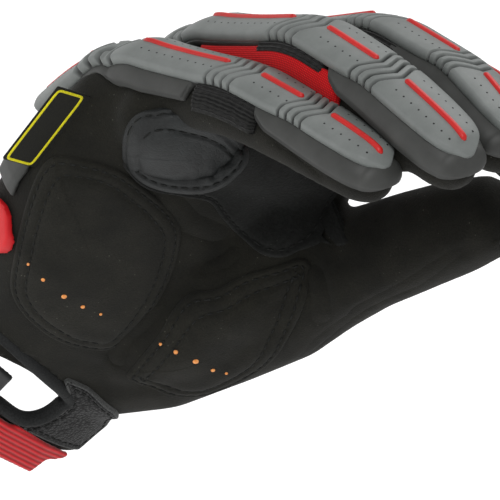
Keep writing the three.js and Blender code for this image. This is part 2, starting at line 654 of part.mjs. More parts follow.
const STRAP = [
    { u: 0.118, v: 0.047 }, { u: 0.043, v: 0.072 }, { u: -0.226, v: 0.158 },
    { u: -0.280, v: 0.021 }, { u: -0.012, v: -0.065 }, { u: 0.102, v: -0.100 },
];
const BACK_PANEL = [
    { u: 0.095, v: 0.105 }, { u: 0.095, v: 0.263 }, { u: -0.071, v: 0.274 },
    { u: -0.143, v: 0.189 }, { u: -0.119, v: 0.105 },
];

const windowLine = smoothed(outlineOf(WINDOW), 22);
const window = prism(windowLine, FACES.wrist.middle, 0, 0, FACES.wrist.reach);
const bindingLine = grown(windowLine, BINDING_WIDTH);
const binding = laid(FACES.wrist, bindingLine, BINDING_THICK).subtract(window);
const bindingClear = prism(grown(bindingLine, GAP), FACES.wrist.middle, 0, 0, FACES.wrist.reach);

const ovalLine = lozenge(OVAL_LENGTH, OVAL_WIDTH, 2.4, OVAL_SPIN, 20);
const oval = laid(FACES.oval, ovalLine, OVAL_THICK);
const clearOf = (face, line) => prism(grown(line, 2 * GAP), face.middle, face.turn, face.tip, face.reach);
const ovalClear = clearOf(FACES.oval, ovalLine);
const knuckleLine = smoothed(outlineOf(KNUCKLE_PAD), 22);
const knuckle = laid(FACES.knuckle, knuckleLine, PAD_THICK).subtract(ovalClear);
const knuckleClear = clearOf(FACES.knuckle, knuckleLine);
const padClear = knuckleClear.add(ovalClear);

const heelLine = smoothed(outlineOf(HEEL_PAD), 20);
const heel = laid(FACES.heel, heelLine, PAD_THICK).subtract(padClear).subtract(bindingClear);
const heelClear = clearOf(FACES.heel, heelLine);
const thumb = laid(FACES.thumb, smoothed(outlineOf(THUMB_PAD), 20), PAD_THICK)
  .subtract(padClear).subtract(heelClear);

const loopPatch = laid(FACES.wrist, outlineOf(LOOP_PATCH), KNIT_THICK).subtract(bindingClear);
const elastic = laid(FACES.wrist, outlineOf(ELASTIC), ELASTIC_THICK).subtract(bindingClear)
  .subtract(prism(grown(outlineOf(LOOP_PATCH), GAP), FACES.wrist.middle, 0, 0, FACES.wrist.reach));
const strapStart = 2 * GAP + BINDING_THICK;
const strap = laid(FACES.strap, outlineOf(STRAP), STRAP_THICK, strapStart);

const tongue = lozenge(TAB_LENGTH, TAB_WIDTH, 3.2, TAB_SPIN, 16)
  .map(([u, v]) => [u + TAB_SHIFT[0], v + TAB_SHIFT[1]]);
const wristTab = laid(FACES.side, tongue, TAB_THICK);

// The side label, a flag sewn into the seam at the little-finger edge
const labelShape = new THREE.BoxGeometry(2 * LABEL_WIDTH, LABEL_THICK, LABEL_LENGTH);
labelShape.translate(-0.505 * PALM_WIDTH, -0.33 * PALM_DEPTH, 0.684 * PALM_LENGTH);
const label = makeSolid(labelShape).subtract(skinClear);
const labelRoom = new THREE.BoxGeometry(
  2 * (LABEL_WIDTH + GAP), LABEL_THICK + 2 * GAP, LABEL_LENGTH + 2 * GAP);
labelRoom.translate(-0.505 * PALM_WIDTH, -0.33 * PALM_DEPTH, 0.684 * PALM_LENGTH);
const backPanel = laid(FACES.side, outlineOf(BACK_PANEL), BASE_THICK).subtract(makeSolid(labelRoom));

// The mouth of the cuff, cut across the wrist on a slant
const mouthCut = new THREE.BoxGeometry(3 * PALM_WIDTH, 3 * PALM_DEPTH, PALM_LENGTH);
mouthCut.translate(0, 0, -PALM_LENGTH / 2);
mouthCut.rotateY(rad(MOUTH_SLANT));
mouthCut.translate(MOUTH.x, MOUTH.y, MOUTH.z);
const beyond = makeSolid(mouthCut);
const shell = skin.subtract(lining).subtract(beyond).subtract(window);

addNode('hand_shell', whole(shell), COLOURS.leather, 0.85, SHELL_SIMPLIFY);
const PIECES = {
  heel_pad: { solid: heel, colour: COLOURS.pad },
  thumb_pad: { solid: thumb, colour: COLOURS.pad },
  knuckle_pad: { solid: knuckle, colour: COLOURS.pad },
  oval_pad: { solid: oval, colour: COLOURS.patch },
  side_label: { solid: label, colour: COLOURS.label },
  wrist_binding: { solid: binding, colour: COLOURS.trim },
  loop_patch: { solid: loopPatch, colour: COLOURS.loop },
  cuff_elastic: { solid: elastic, colour: COLOURS.red },
  strap_tab: { solid: strap, colour: COLOURS.base },
  wrist_tab: { solid: wristTab, colour: COLOURS.red },
  back_side_panel: { solid: backPanel, colour: COLOURS.base },
};
for (const [name, piece] of Object.entries(PIECES)) {
  const solid = name === 'cuff_elastic' ? piece.solid : piece.solid.subtract(beyond);
  addNode(name, clear(solid), piece.colour, 0.85);
}

export default group;
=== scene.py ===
import math

import bmesh
import bpy
import numpy as np
from mathutils import Matrix, Vector
from mathutils.bvhtree import BVHTree


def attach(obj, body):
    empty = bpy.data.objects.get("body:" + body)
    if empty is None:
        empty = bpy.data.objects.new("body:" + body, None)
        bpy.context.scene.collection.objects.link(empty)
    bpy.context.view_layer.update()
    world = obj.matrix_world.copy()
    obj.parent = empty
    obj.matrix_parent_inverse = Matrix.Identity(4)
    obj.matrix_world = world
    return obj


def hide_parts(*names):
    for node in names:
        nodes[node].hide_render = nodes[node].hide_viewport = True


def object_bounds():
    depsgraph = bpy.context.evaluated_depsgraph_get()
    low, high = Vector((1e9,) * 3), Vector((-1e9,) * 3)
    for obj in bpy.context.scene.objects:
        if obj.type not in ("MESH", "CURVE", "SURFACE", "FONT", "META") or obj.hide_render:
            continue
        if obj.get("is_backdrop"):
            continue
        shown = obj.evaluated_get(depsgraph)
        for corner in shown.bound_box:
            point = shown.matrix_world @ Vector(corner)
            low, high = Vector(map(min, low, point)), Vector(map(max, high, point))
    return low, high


# %% [markdown]
# # A mechanic glove
# The real glove is sewn from thin synthetic leather, with moulded rubber guards over the fingers and
# knuckles, knit where the fingers bend and red mesh between them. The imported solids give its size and
# place. This script dresses them: it softens the leather, drapes the pads and guards over it, and
# gives each surface its own finish.

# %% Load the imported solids
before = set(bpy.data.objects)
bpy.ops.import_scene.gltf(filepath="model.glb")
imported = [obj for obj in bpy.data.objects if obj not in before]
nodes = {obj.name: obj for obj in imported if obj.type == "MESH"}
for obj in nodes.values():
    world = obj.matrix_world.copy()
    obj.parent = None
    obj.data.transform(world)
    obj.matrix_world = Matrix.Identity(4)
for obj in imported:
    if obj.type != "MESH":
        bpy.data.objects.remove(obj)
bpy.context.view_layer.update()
MM = 0.001
print("solids:", len(nodes))

# %% [markdown]
# The maker thinks in millimetres from the wrist, with the hand's own axes: x to the thumb, y out of the
# back and z to the fingertips. The solids are stored from the middle of the cuff's mouth, so one small
# function moves a point from the hand's axes to the stored frame.

# %% The hand's driving sizes, in mm
PALM_LENGTH = 95
PALM_WIDTH = 84
PALM_DEPTH = 44
FINGER_LENGTH = 108
FINGER_WIDTH = 20
MOUTH = Vector((0.13 * PALM_WIDTH, 0, -0.35 * PALM_LENGTH))


def stored(point):
    """A point of the hand, in mm, as a point of the stored frame, in metres."""
    return (Vector(point) - MOUTH) * MM


def mixed(low, high, share):
    return low + (high - low) * share


def step_between(low, high, value):
    """0 below low, 1 above high, and a smooth rise between them."""
    t = np.clip((value - low) / (high - low), 0, 1)
    return t * t * (3 - 2 * t)


def rounded(share):
    """Rises from 0 to 1 as a quarter circle does, over a share from 0 to 1."""
    return np.sqrt(1 - (1 - np.clip(share, 0, 1)) ** 2)


# %% [markdown]
# ## Finishes
# Every finish is made of shader nodes. One function turns the hex colours that a painter would pick into
# the linear numbers that the renderer needs, and one adds a node with its settings and links. All the
# glove's finishes end the same way, with two tones and a little relief, and one function does that.

# %% Colour and node helpers
def linear(hex_colour):
    """An sRGB hex colour as linear red, green, blue and alpha."""
    parts = [int(hex_colour[i:i + 2], 16) / 255 for i in (1, 3, 5)]
    return [c / 12.92 if c <= 0.04045 else ((c + 0.055) / 1.055) ** 2.4 for c in parts] + [1]


def add_node(tree, kind, inputs=None, **settings):
    """A node of that kind. An input that is a socket gets linked, and any other is set."""
    node = tree.nodes.new(kind)
    for name, value in settings.items():
        setattr(node, name, value)
    for name, value in (inputs or {}).items():
        if isinstance(value, bpy.types.NodeSocket):
            tree.links.new(value, node.inputs[name])
        else:
            node.inputs[name].default_value = value
    return node


def new_finish(name, **shader):
    """An empty finish: its node tree, its Principled shader and its Object coordinates."""
    material = bpy.data.materials.new(name)
    material.use_nodes = True
    tree = material.node_tree
    tree.nodes.clear()
    surface = add_node(tree, "ShaderNodeBsdfPrincipled", shader)
    out = add_node(tree, "ShaderNodeOutputMaterial")
    tree.links.new(surface.outputs["BSDF"], out.inputs["Surface"])
    place = add_node(tree, "ShaderNodeTexCoord").outputs["Object"]
    return material, tree, surface, place


def per_metre(size_mm):
    """The texture scale that makes one cell of a pattern that many millimetres wide."""
    return 1 / (size_mm * MM)


MIX_SHARE, MIX_FIRST, MIX_SECOND, MIX_RESULT = 0, 6, 7, 2  # sockets of a mix node that mixes colours


def dress(tree, surface, tones, factor, stretch, height, relief, over=None):
    """Gives a finish two tones over a stretch of a factor, and relief from a height.

    relief is its strength and its depth in mm. over is one more colour and the share that shows.
    """
    ramp = add_node(tree, "ShaderNodeValToRGB", {"Fac": factor})
    for element, position, tone in zip(ramp.color_ramp.elements, stretch, tones):
        element.position = position
        element.color = linear(tone)
    colour = ramp.outputs["Color"]
    if over:
        mix = add_node(tree, "ShaderNodeMix", {MIX_SHARE: over[1], MIX_FIRST: colour,
                                               MIX_SECOND: linear(over[0])}, data_type="RGBA")
        colour = mix.outputs[MIX_RESULT]
    tree.links.new(colour, surface.inputs["Base Color"])
    bump = add_node(tree, "ShaderNodeBump", {"Height": height, "Strength": relief[0],
                                             "Distance": relief[1] * MM})
    tree.links.new(bump.outputs["Normal"], surface.inputs["Normal"])


# %% [markdown]
# **Synthetic suede.** The palm is microfibre leather with a brushed face. It is near black, drinks light,
# and shows a fine nap with a few pale dust specks. A fine noise gives the nap, a coarse one the patches
# where the nap lies another way, and a sparse cell pattern the specks.

# %% Suede
NAP_MM = 0.45
PATCH_MM = 14
SPECK_MM = 1.7
DUST = "#6a6a60"


def suede(name, dark, light, nap=0.7, grain_mm=NAP_MM):
    material, tree, surface, place = new_finish(name, **{"Roughness": 0.93, "IOR": 1.45,
                                                        "Specular IOR Level": 0.25,
                                                        "Sheen Weight": 0.03, "Sheen Roughness": 0.6})
    fine = add_node(tree, "ShaderNodeTexNoise", {"Vector": place, "Scale": per_metre(grain_mm),
                                                 "Detail": 3.0, "Roughness": 0.6})
    patch = add_node(tree, "ShaderNodeTexNoise", {"Vector": place, "Scale": per_metre(PATCH_MM),
                                                  "Detail": 4.0, "Roughness": 0.65})
    both = add_node(tree, "ShaderNodeMath", {0: fine.outputs["Fac"], 1: patch.outputs["Fac"]},
                    operation="MULTIPLY")
    cells = add_node(tree, "ShaderNodeTexVoronoi", {"Vector": place, "Scale": per_metre(SPECK_MM)})
    speck = add_node(tree, "ShaderNodeMapRange", {"Value": cells.outputs["Distance"],
                                                  "From Min": 0.05, "From Max": 0.11,
                                                  "To Min": 1.0, "To Max": 0.0})
    few = add_node(tree, "ShaderNodeMapRange", {"Value": patch.outputs["Fac"],
                                                "From Min": 0.5, "From Max": 0.66})
    amount = add_node(tree, "ShaderNodeMath", {0: speck.outputs[0], 1: few.outputs[0]},
                      operation="MULTIPLY")
    dress(tree, surface, (dark, light), both.outputs[0], (0.12, 0.42), fine.outputs["Fac"], (nap, 0.3),
          over=(DUST, amount.outputs[0]))
    return material


palm_suede = suede("microfibre_suede", "#0e0e0a", "#201f19")
pad_suede = suede("padded_suede", "#0f0f0b", "#24231d")
knuckle_grain = suede("grained_suede", "#0b0c0a", "#202120", nap=1.0, grain_mm=0.8)

# %% [markdown]
# **Grained leather.** The oval patch is smoother and bluer than the palm, with shallow creases. The
# edges of a cell pattern give the creases, and it is a little glossier than the suede.

# %% Grained leather
GRAIN_MM = 1.3
WANDER_MM = 6


def grained_leather(name, dark, light, roughness):
    material, tree, surface, place = new_finish(name, **{"Roughness": roughness, "IOR": 1.5,
                                                        "Specular IOR Level": 0.4})
    wander = add_node(tree, "ShaderNodeTexNoise", {"Vector": place, "Scale": per_metre(WANDER_MM),
                                                   "Detail": 4.0, "Roughness": 0.7})
    cells = add_node(tree, "ShaderNodeTexVoronoi", {"Vector": place, "Scale": per_metre(GRAIN_MM)},
                     feature="DISTANCE_TO_EDGE")
    crease = add_node(tree, "ShaderNodeMapRange", {"Value": cells.outputs["Distance"],
                                                   "From Min": 0.0, "From Max": 0.12})
    height = add_node(tree, "ShaderNodeMath", {0: crease.outputs[0], 1: wander.outputs["Fac"]},
                      operation="ADD")
    dress(tree, surface, (dark, light), wander.outputs["Fac"], (0.35, 0.68), height.outputs[0], (0.35, 0.25))
    return material


patch_leather = grained_leather("grained_patch_leather", "#101212", "#202323", 0.6)

# %% [markdown]
# ** Moulded rubber.** The guards are thermoplastic rubber from a mould: an even colour, a satin face, and
# grooves painted darker, as painted shade where shade sits in the cuts. Each mesh carries how deep a point
# lies as an attribute named after the groove, so that the painted shade follows the shape.

# %% Moulded rubber
CLOUD_MM = 9
GRIT_MM = 0.5


def moulded_rubber(name, dark, light, groove_shade, roughness=0.5):
    material, tree, surface, place = new_finish(name, **{"Roughness": roughness, "IOR": 1.5,
                                                        "Specular IOR Level": 0.45})
    cloud = add_node(tree, "ShaderNodeTexNoise", {"Vector": place, "Scale": per_metre(CLOUD_MM),
                                                  "Detail": 5.0, "Roughness": 0.6})
    deep = add_node(tree, "ShaderNodeAttribute", attribute_name="groove_shade")
    grit = add_node(tree, "ShaderNodeTexNoise", {"Vector": place, "Scale": per_metre(GRIT_MM),
                                                 "Detail": 2.0})
    # The groove colour is painted shade: it covers the two tones as far as the groove attribute says a point
    # lies deep.
    dress(tree, surface, (dark, light), cloud.outputs["Fac"], (0.3, 0.7), grit.outputs["Fac"], (0.12, 0.1),
          over=(groove_shade, deep.outputs["Fac"]))
    return material


# The third colour of each rubber is painted shade for its grooves and engraved lines.
guard_rubber = moulded_rubber("moulded_grey_rubber", "#666a68", "#757977", "#131413")
base_rubber = moulded_rubber("moulded_dark_rubber", "#2f302e", "#3d3e3c", "#161615", 0.55)
bead_rubber = moulded_rubber("moulded_red_rubber", "#b3100e", "#c91a16", "#5e0f0c", 0.42)
strap_rubber = moulded_rubber("moulded_strap_rubber", "#1c1d1d", "#2a2b2b", "#101010", 0.6)
# The pits' near-black colour is painted shadow for the shade inside each pit.
pit_shadow_finish = moulded_rubber("pit_shadow_rubber", "#141514", "#1b1c1b", "#101010", 0.8)
tab_rubber = moulded_rubber("moulded_tab_rubber", "#bd0a14", "#cf141d", "#7c1015", 0.55)

# %% [markdown]
# **Cloths.** The red side walls are a warp-knit mesh, the flex panels a dense black rib, and the
# closure's patch a pile of tiny loops. The two knits run on the piece's own map, which keeps true sizes,
# so their threads follow the cloth as it bends. The pile, tapes and threads run in the stored frame.

# %% Cloths
WAVE_TURN = 2 * math.pi / 20  # the wave texture turns 20 radians over one unit


def threads_of(place, size_mm, distortion=0.0):
    """A wave texture's settings for threads that are size_mm apart on a map in metres."""
    return {"Vector": place, "Scale": per_metre(size_mm) * WAVE_TURN, "Distortion": distortion,
            "Detail": 2.0, "Detail Scale": 1.5}


def knit_cloth(name, dark, light, along_mm, across_mm, depth_mm, distortion=0.0, sheen=0.25, cross=1.0):
    material, tree, surface, _ = new_finish(name, **{"Roughness": 0.9, "IOR": 1.45,
                                                    "Specular IOR Level": 0.2, "Sheen Weight": sheen})
    uv = add_node(tree, "ShaderNodeUVMap", uv_map="cloth").outputs["UV"]
    ribs = add_node(tree, "ShaderNodeTexWave", threads_of(uv, along_mm, distortion), bands_direction="X")
    rows = add_node(tree, "ShaderNodeTexWave", threads_of(uv, across_mm, distortion), bands_direction="Y")
    weft = add_node(tree, "ShaderNodeMapRange", {"Value": rows.outputs["Fac"], "To Min": 1 - cross,
                                                 "To Max": 1.0})
    both = add_node(tree, "ShaderNodeMath", {0: ribs.outputs["Fac"], 1: weft.outputs[0]},
                    operation="MULTIPLY")
    height = add_node(tree, "ShaderNodeMath", {0: both.outputs[0], 1: 0.5}, operation="POWER")
    dress(tree, surface, (dark, light), height.outputs[0], (0.25, 0.75), height.outputs[0],
          (0.8, depth_mm))
    return material


side_mesh_cloth = knit_cloth("red_warp_knit_mesh", "#9a070b", "#d0131a", 0.62, 0.62, 0.12, sheen=0.05)
flex_knit_cloth = knit_cloth("black_rib_knit", "#080808", "#222221", 1.15, 2.6, 0.45, 2.6, sheen=0.08,
                             cross=0.45)


def pile_cloth(name, dark, light, loop_mm, depth_mm=0.05, sheen=0.1):
    material, tree, surface, place = new_finish(name, **{"Roughness": 0.9, "IOR": 1.45,
                                                        "Specular IOR Level": 0.3,
                                                        "Sheen Weight": sheen})
    loops = add_node(tree, "ShaderNodeTexVoronoi", {"Vector": place, "Scale": per_metre(loop_mm)})
    height = add_node(tree, "ShaderNodeMath", {0: 1.0, 1: loops.outputs["Distance"]},
                      operation="SUBTRACT")
    dress(tree, surface, (light, dark), loops.outputs["Distance"], (0.1, 0.75), height.outputs[0],
          (1.0, depth_mm))
    return material


loop_pile = pile_cloth("black_loop_pile", "#0b0b0b", "#343434", 0.8, 0.35)
binding_tape = pile_cloth("black_binding_tape", "#1a1b1b", "#292a2a", 0.5, sheen=0.03)
piping_cord = pile_cloth("grey_piping_cord", "#3a3b3a", "#565756", 0.4)
woven_label = pile_cloth("black_woven_label", "#0d0d08", "#191911", 0.4)
thread_black = pile_cloth("black_sewing_thread", "#131413", "#282927", 0.5, sheen=0.0)
thread_yellow = pile_cloth("yellow_woven_thread", "#c9bf10", "#e8de25", 0.5)
vent_orange = pile_cloth("orange_vent_lining", "#e28a45", "#f7b06a", 0.7)

# %% [markdown]
# **Ribbed elastic.** The cuff's trim is woven red elastic. Its ribs run along the cuff's edge, so they
# are drawn in the stored frame, along a line that leans with the slant of the cuff.

# %% Ribbed elastic
ELASTIC_RIB_MM = 1.5
ELASTIC_LEAN = math.radians(-14)


def ribbed_elastic(name, dark, light):
    material, tree, surface, place = new_finish(name, **{"Roughness": 0.75, "IOR": 1.45,
                                                        "Specular IOR Level": 0.3,
                                                        "Sheen Weight": 0.2})
    turned = add_node(tree, "ShaderNodeMapping", {"Vector": place, "Rotation": (0, ELASTIC_LEAN, 0)})
    ribs = add_node(tree, "ShaderNodeTexWave", threads_of(turned.outputs["Vector"], ELASTIC_RIB_MM, 0.4),
                    bands_direction="Z").outputs["Fac"]
    dress(tree, surface, (dark, light), ribs, (0.1, 0.8), ribs, (0.7, 0.4))
    return material


elastic_red = ribbed_elastic("red_ribbed_elastic", "#94060c", "#cb0f1a")


# %% [markdown]
# ## The fingers as smooth forms
# Each finger is a bent bone line with rounded sections along it, worked out from the same few sizes as
# the solids. The rubber guards, their beads and the side panels are all laid on this form: a point is
# named by how far along the finger it is, how far it is turned round from the back, and its height.

# %% Finger sizes, as shares of the hand's sizes, with angles in degrees
BEND_MM = 14
METACARPAL = 0.36
RIDGE_CURVE = 0.75
ROUNDNESS = 2.3
FIRST_UP = 0.39  # half height of a finger's back over its metacarpal, as a share of the finger's width
FINGERS = {
    "pinky": dict(x=-0.370, y=-0.36, z=0.904, splay=21, roll=19, bends=(60, 13, 2),
                  bones=(0.371, 0.226, 0.241), girth=0.92, crest=1.40),
    "ring": dict(x=-0.132, y=-0.28, z=1.015, splay=24.5, roll=14, bends=(50, 24, 8),
                 bones=(0.403, 0.268, 0.299), girth=1.0, crest=1.30),
    "middle": dict(x=0.112, y=-0.15, z=0.996, splay=9, roll=4, bends=(44, 24, 13),
                   bones=(0.465, 0.287, 0.25), girth=1.03, crest=1.26),
    "index": dict(x=0.369, y=-0.14, z=0.958, splay=0, roll=0, bends=(43, 24, 13),
                  bones=(0.417, 0.25, 0.25), girth=1.02, crest=1.35),
}
SECTIONS = dict(
    at=(-METACARPAL, -0.12, 0.02, 0.12, 0.26, 0.38, 0.50, 0.62, 0.72, 0.84, 0.93, 0.98, 1.00),
    wide=(0.42, 0.47, 0.49, 0.49, 0.47, 0.47, 0.47, 0.46, 0.45, 0.43, 0.38, 0.27, 0.14),
    up=(FIRST_UP, 0.43, 0.44, 0.39, 0.37, 0.37, 0.37, 0.36, 0.35, 0.32, 0.28, 0.20, 0.10),
    down=(0.40, 0.50, 0.55, 0.52, 0.49, 0.48, 0.48, 0.47, 0.46, 0.45, 0.42, 0.32, 0.16),
)


def finger_length(finger):
    return sum(finger["bones"]) * FINGER_LENGTH


def joints(finger):
    """Places of the knuckle and of the two joints beyond it, in mm along the finger."""
    return [sum(finger["bones"][:k]) * FINGER_LENGTH for k in range(3)]


def between(place, places, points):
    """Points at places along a line whose corners lie at known places."""
    return np.stack([np.interp(place, places, column) for column in points.T], axis=-1)


def directions(finger):
    """Along the bone, out to the little-finger side and out of the back, before it bends."""
    splay = math.radians(finger["splay"])
    roll = math.radians(finger["roll"])
    along = np.array([-math.sin(splay), 0, math.cos(splay)])
    ulnar = np.array([-math.cos(splay), 0, -math.sin(splay)])
    back = np.array([0, math.cos(roll), 0]) + ulnar * math.sin(roll)
    side = ulnar * math.cos(roll) + np.array([0, -math.sin(roll), 0])
    return along, side, back


LINE_STEP = 0.5
SOFTEN_MM = 6


def bone_line(finger):
    """Places every LINE_STEP along the bone, with the point and the outward direction there."""
    along, side, back = directions(finger)
    length = finger_length(finger)
    places = np.arange(-math.ceil(METACARPAL * length) - 2, length + 8, LINE_STEP)

    def bend(place):
        return sum(math.radians(turn) * np.clip((place - joint) / BEND_MM + 0.5, 0, 1)
                   for turn, joint in zip(finger["bends"], joints(finger)))

    middle = bend(places[:-1] + LINE_STEP / 2)[:, None]
    moves = LINE_STEP * (along * np.cos(middle) - back * np.sin(middle))
    points = np.vstack([np.zeros(3), np.cumsum(moves, axis=0)])
    start = between(0, places, points)
    knuckle = np.array([finger["x"] * PALM_WIDTH, finger["y"] * PALM_DEPTH, finger["z"] * PALM_LENGTH])
    angle = bend(places)[:, None]
    return places, points - start + knuckle, back * np.cos(angle) + along * np.sin(angle)


for finger in FINGERS.values():
    finger["line"] = bone_line(finger)
    finger["side"] = directions(finger)[1]
print({name: round(finger_length(finger), 1) for name, finger in FINGERS.items()})


# %% A point on a finger
def at_place(finger, place):
    """The bone point and the outward direction at places along it, in mm."""
    places, points, ups = finger["line"]
    up = between(place, places, ups)
    return between(place, places, points), up / np.linalg.norm(up, axis=-1, keepdims=True)


def section_size(finger, column, place):
    """A half size of the section, softened over SOFTEN_MM, in mm."""
    length = finger_length(finger)
    shares = (place[..., None] + np.linspace(-0.5, 0.5, 7) * SOFTEN_MM) / length
    size = np.interp(shares, SECTIONS["at"], SECTIONS[column]).mean(axis=-1)
    return size * FINGER_WIDTH * finger["girth"]


def finger_surface(finger, place, turn, lift):
    """Points over the finger in mm: place along it, degrees from the back to the outside, height."""
    place, turn, lift = np.broadcast_arrays(np.asarray(place, float), turn, lift)
    length = finger_length(finger)
    point, up = at_place(finger, place + np.where(place >= length, lift, 0))
    angle = np.radians(90 - turn)
    c, s = np.cos(angle), np.sin(angle)
    share = np.clip(-place / length / METACARPAL, 0, 1)
    ridge = np.where(place < 0, (finger["crest"] - FIRST_UP) * FINGER_WIDTH * share ** RIDGE_CURVE, 0)
    wide = np.maximum(1, section_size(finger, "wide", place) + lift)
    high = np.where(s > 0, np.maximum(1, section_size(finger, "up", place) + lift) + ridge,
                    np.maximum(1, section_size(finger, "down", place) + lift))
    across = np.sign(c) * np.abs(c) ** (2 / ROUNDNESS) * wide
    over = np.sign(s) * np.abs(s) ** (2 / ROUNDNESS) * high
    return point + across[..., None] * finger["side"] + over[..., None] * up


# %% [markdown]
# ## A slab laid on a form
# Most trims are thin slabs that follow what they lie on. Each starts as a flat grid made by bmesh,
# which is extruded to give it a back. Then one function says where the corners of its face go, and
# another says it for its back.

# %% Slab helper
def read_grid(verts):
    co = np.array([v.co for v in verts])
    return (co[:, 0] + 1) / 2, co[:, 1]


def slab(columns, rows, face, back, closed=False):
    """A closed slab from a grid: u runs 0 to 1 along it and v runs -1 to 1 across it.

    face(u, v) gives the points of its face in mm, a groove depth from 0 to 1 that sets how much painted
    groove shade darkens the rubber there and, for cloth, a map in mm. back(u, v) gives the points of its
    back.
    """
    bm = bmesh.new()
    groove_shade = bm.verts.layers.float.new("groove_shade")
    cloth = bm.loops.layers.uv.new("cloth")
    bmesh.ops.create_grid(bm, x_segments=columns, y_segments=rows, size=1)
    made = bmesh.ops.extrude_face_region(bm, geom=bm.faces[:])
    front = [v for v in made["geom"] if isinstance(v, bmesh.types.BMVert)]
    front_set = set(front)
    rear = [v for v in bm.verts if v not in front_set]
    flat = {}
    for verts, shape in ((front, face), (rear, back)):
        u, v = read_grid(verts)
        placed = shape(u, v)
        points, deep, map_mm = placed if isinstance(placed, tuple) else (placed, None, None)
        for i, vert in enumerate(verts):
            vert.co = stored(points[i])
            vert[groove_shade] = 0 if deep is None else float(deep[i])
            flat[vert] = (0, 0) if map_mm is None else map_mm[i] * MM
    for polygon in bm.faces:
        for corner in polygon.loops:
            corner[cloth].uv = flat[corner.vert]
    if closed:
        bmesh.ops.remove_doubles(bm, verts=bm.verts, dist=0.02 * MM)
    bmesh.ops.recalc_face_normals(bm, faces=bm.faces)
    return bm


def shown(name, bm):
    """An object at the origin with a bmesh's shape. The bmesh is freed."""
    mesh = bpy.data.meshes.new(name)
    bm.to_mesh(mesh)
    bm.free()
    thing = bpy.data.objects.new(name, mesh)
    bpy.context.scene.collection.objects.link(thing)
    return thing


def add_piece(name, bm, finish, slot, *replaced, smooth=True):
    """A finished piece that rides on the glove."""
    piece = shown(name, bm)
    mesh = piece.data
    mesh.materials.append(finish)
    mesh.polygons.foreach_set("use_smooth", [smooth] * len(mesh.polygons))
    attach(piece, "root")
    if replaced:
        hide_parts(*replaced)
    print(name, len(mesh.polygons), "faces")
    return piece


# %% [markdown]
# ## The leather shell
# The solid shell has a flat-sided look, because it is kept light. Its outer skin alone is taken, closed,
# and rebuilt from small even cubes, which a few rounds of smoothing turn into soft leather. The mouth
# and the wrist's window are opened again at the end, and Solidify gives the leather its thickness.

# %% Leather sizes, in mm, and the window's line
MOUTH_SLANT = math.radians(7)
MOUTH_NORMAL = Vector((math.sin(MOUTH_SLANT), 0, math.cos(MOUTH_SLANT)))
LEATHER_MM = 1.5
VOXEL_MM = 1.7
MOUTH_SPARE_MM = 8  # the skin is closed this far beyond the mouth, so that smoothing spares its edge
WALL_NEAR_MM = 1.2  # the window's cut wall lies this close to the window's line
PALM_SIDE = -5  # the palm's leather lies below this height over the wrist
WINDOW = ((11.3, -14.3), (-16.2, -3.8), (-19, -8), (-18, -20), (-3.6, -22.7), (5.8, -24.8), (11.2, -22.6),
          (13.2, -18))


# %% Closed lines on a plane
def smooth_loop(points, count):
    """A closed smooth line through a few points, as count points."""
    points = np.array(points, float)
    n = len(points)
    out = []
    for i in range(count):
        t = i / count * n
        k, f = int(t), t - int(t)
        p = [points[(k + j - 1) % n] for j in range(4)]
        out.append(0.5 * (2 * p[1] + (p[2] - p[0]) * f + (2 * p[0] - 5 * p[1] + 4 * p[2] - p[3]) * f ** 2
                          + (3 * p[1] - p[0] - 3 * p[2] + p[3]) * f ** 3))
    return np.array(out)


def inside(loop, u, v):
    """Whether points lie inside a closed line."""
    hit = np.zeros(np.shape(u), bool)
    for (x0, y0), (x1, y1) in zip(loop, np.roll(loop, -1, axis=0)):
        crosses = (y0 > v) != (y1 > v)
        with np.errstate(divide="ignore", invalid="ignore"):
            hit ^= crosses & (u < (x1 - x0) * (v - y0) / (y1 - y0) + x0)
    return hit


def line_distance(loop, u, v):
    """Distance from points to a closed line, in its own unit."""
    best = np.full(np.shape(u), 1e9)
    for a, b in zip(loop, np.roll(loop, -1, axis=0)):
        d = b - a
        t = np.clip(((u - a[0]) * d[0] + (v - a[1]) * d[1]) / max(1e-9, d @ d), 0, 1)
        best = np.minimum(best, np.hypot(u - a[0] - t * d[0], v - a[1] - t * d[1]))
    return best


LOOP_CORNERS = 120
window_loop = smooth_loop(WINDOW, LOOP_CORNERS)


# %% Take the outer skin
def hand_of(vertex):
    """A stored point in metres as a point of the hand in mm."""
    return Vector(vertex) / MM + MOUTH


def islands(bm):
    """The sets of corners that hang together."""
    loose = set(bm.verts)
    while loose:
        seed = loose.pop()
        island, todo = {seed}, [seed]
        while todo:
            near = {v for edge in todo.pop().link_edges for v in edge.verts} & loose
            loose -= near
            island |= near
            todo += near
        yield island


def on_mouth(part):
    """Whether an edge or a face lies in the plane of the mouth."""
    return all(abs(v.co.dot(MOUTH_NORMAL)) < 0.1 * MM for v in part.verts)


def solid_of(node):
    """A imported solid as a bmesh, with its faces joined."""
    bm = bmesh.new()
    bm.from_mesh(nodes[node].data)
    bmesh.ops.remove_doubles(bm, verts=bm.verts, dist=1e-6)
    return bm


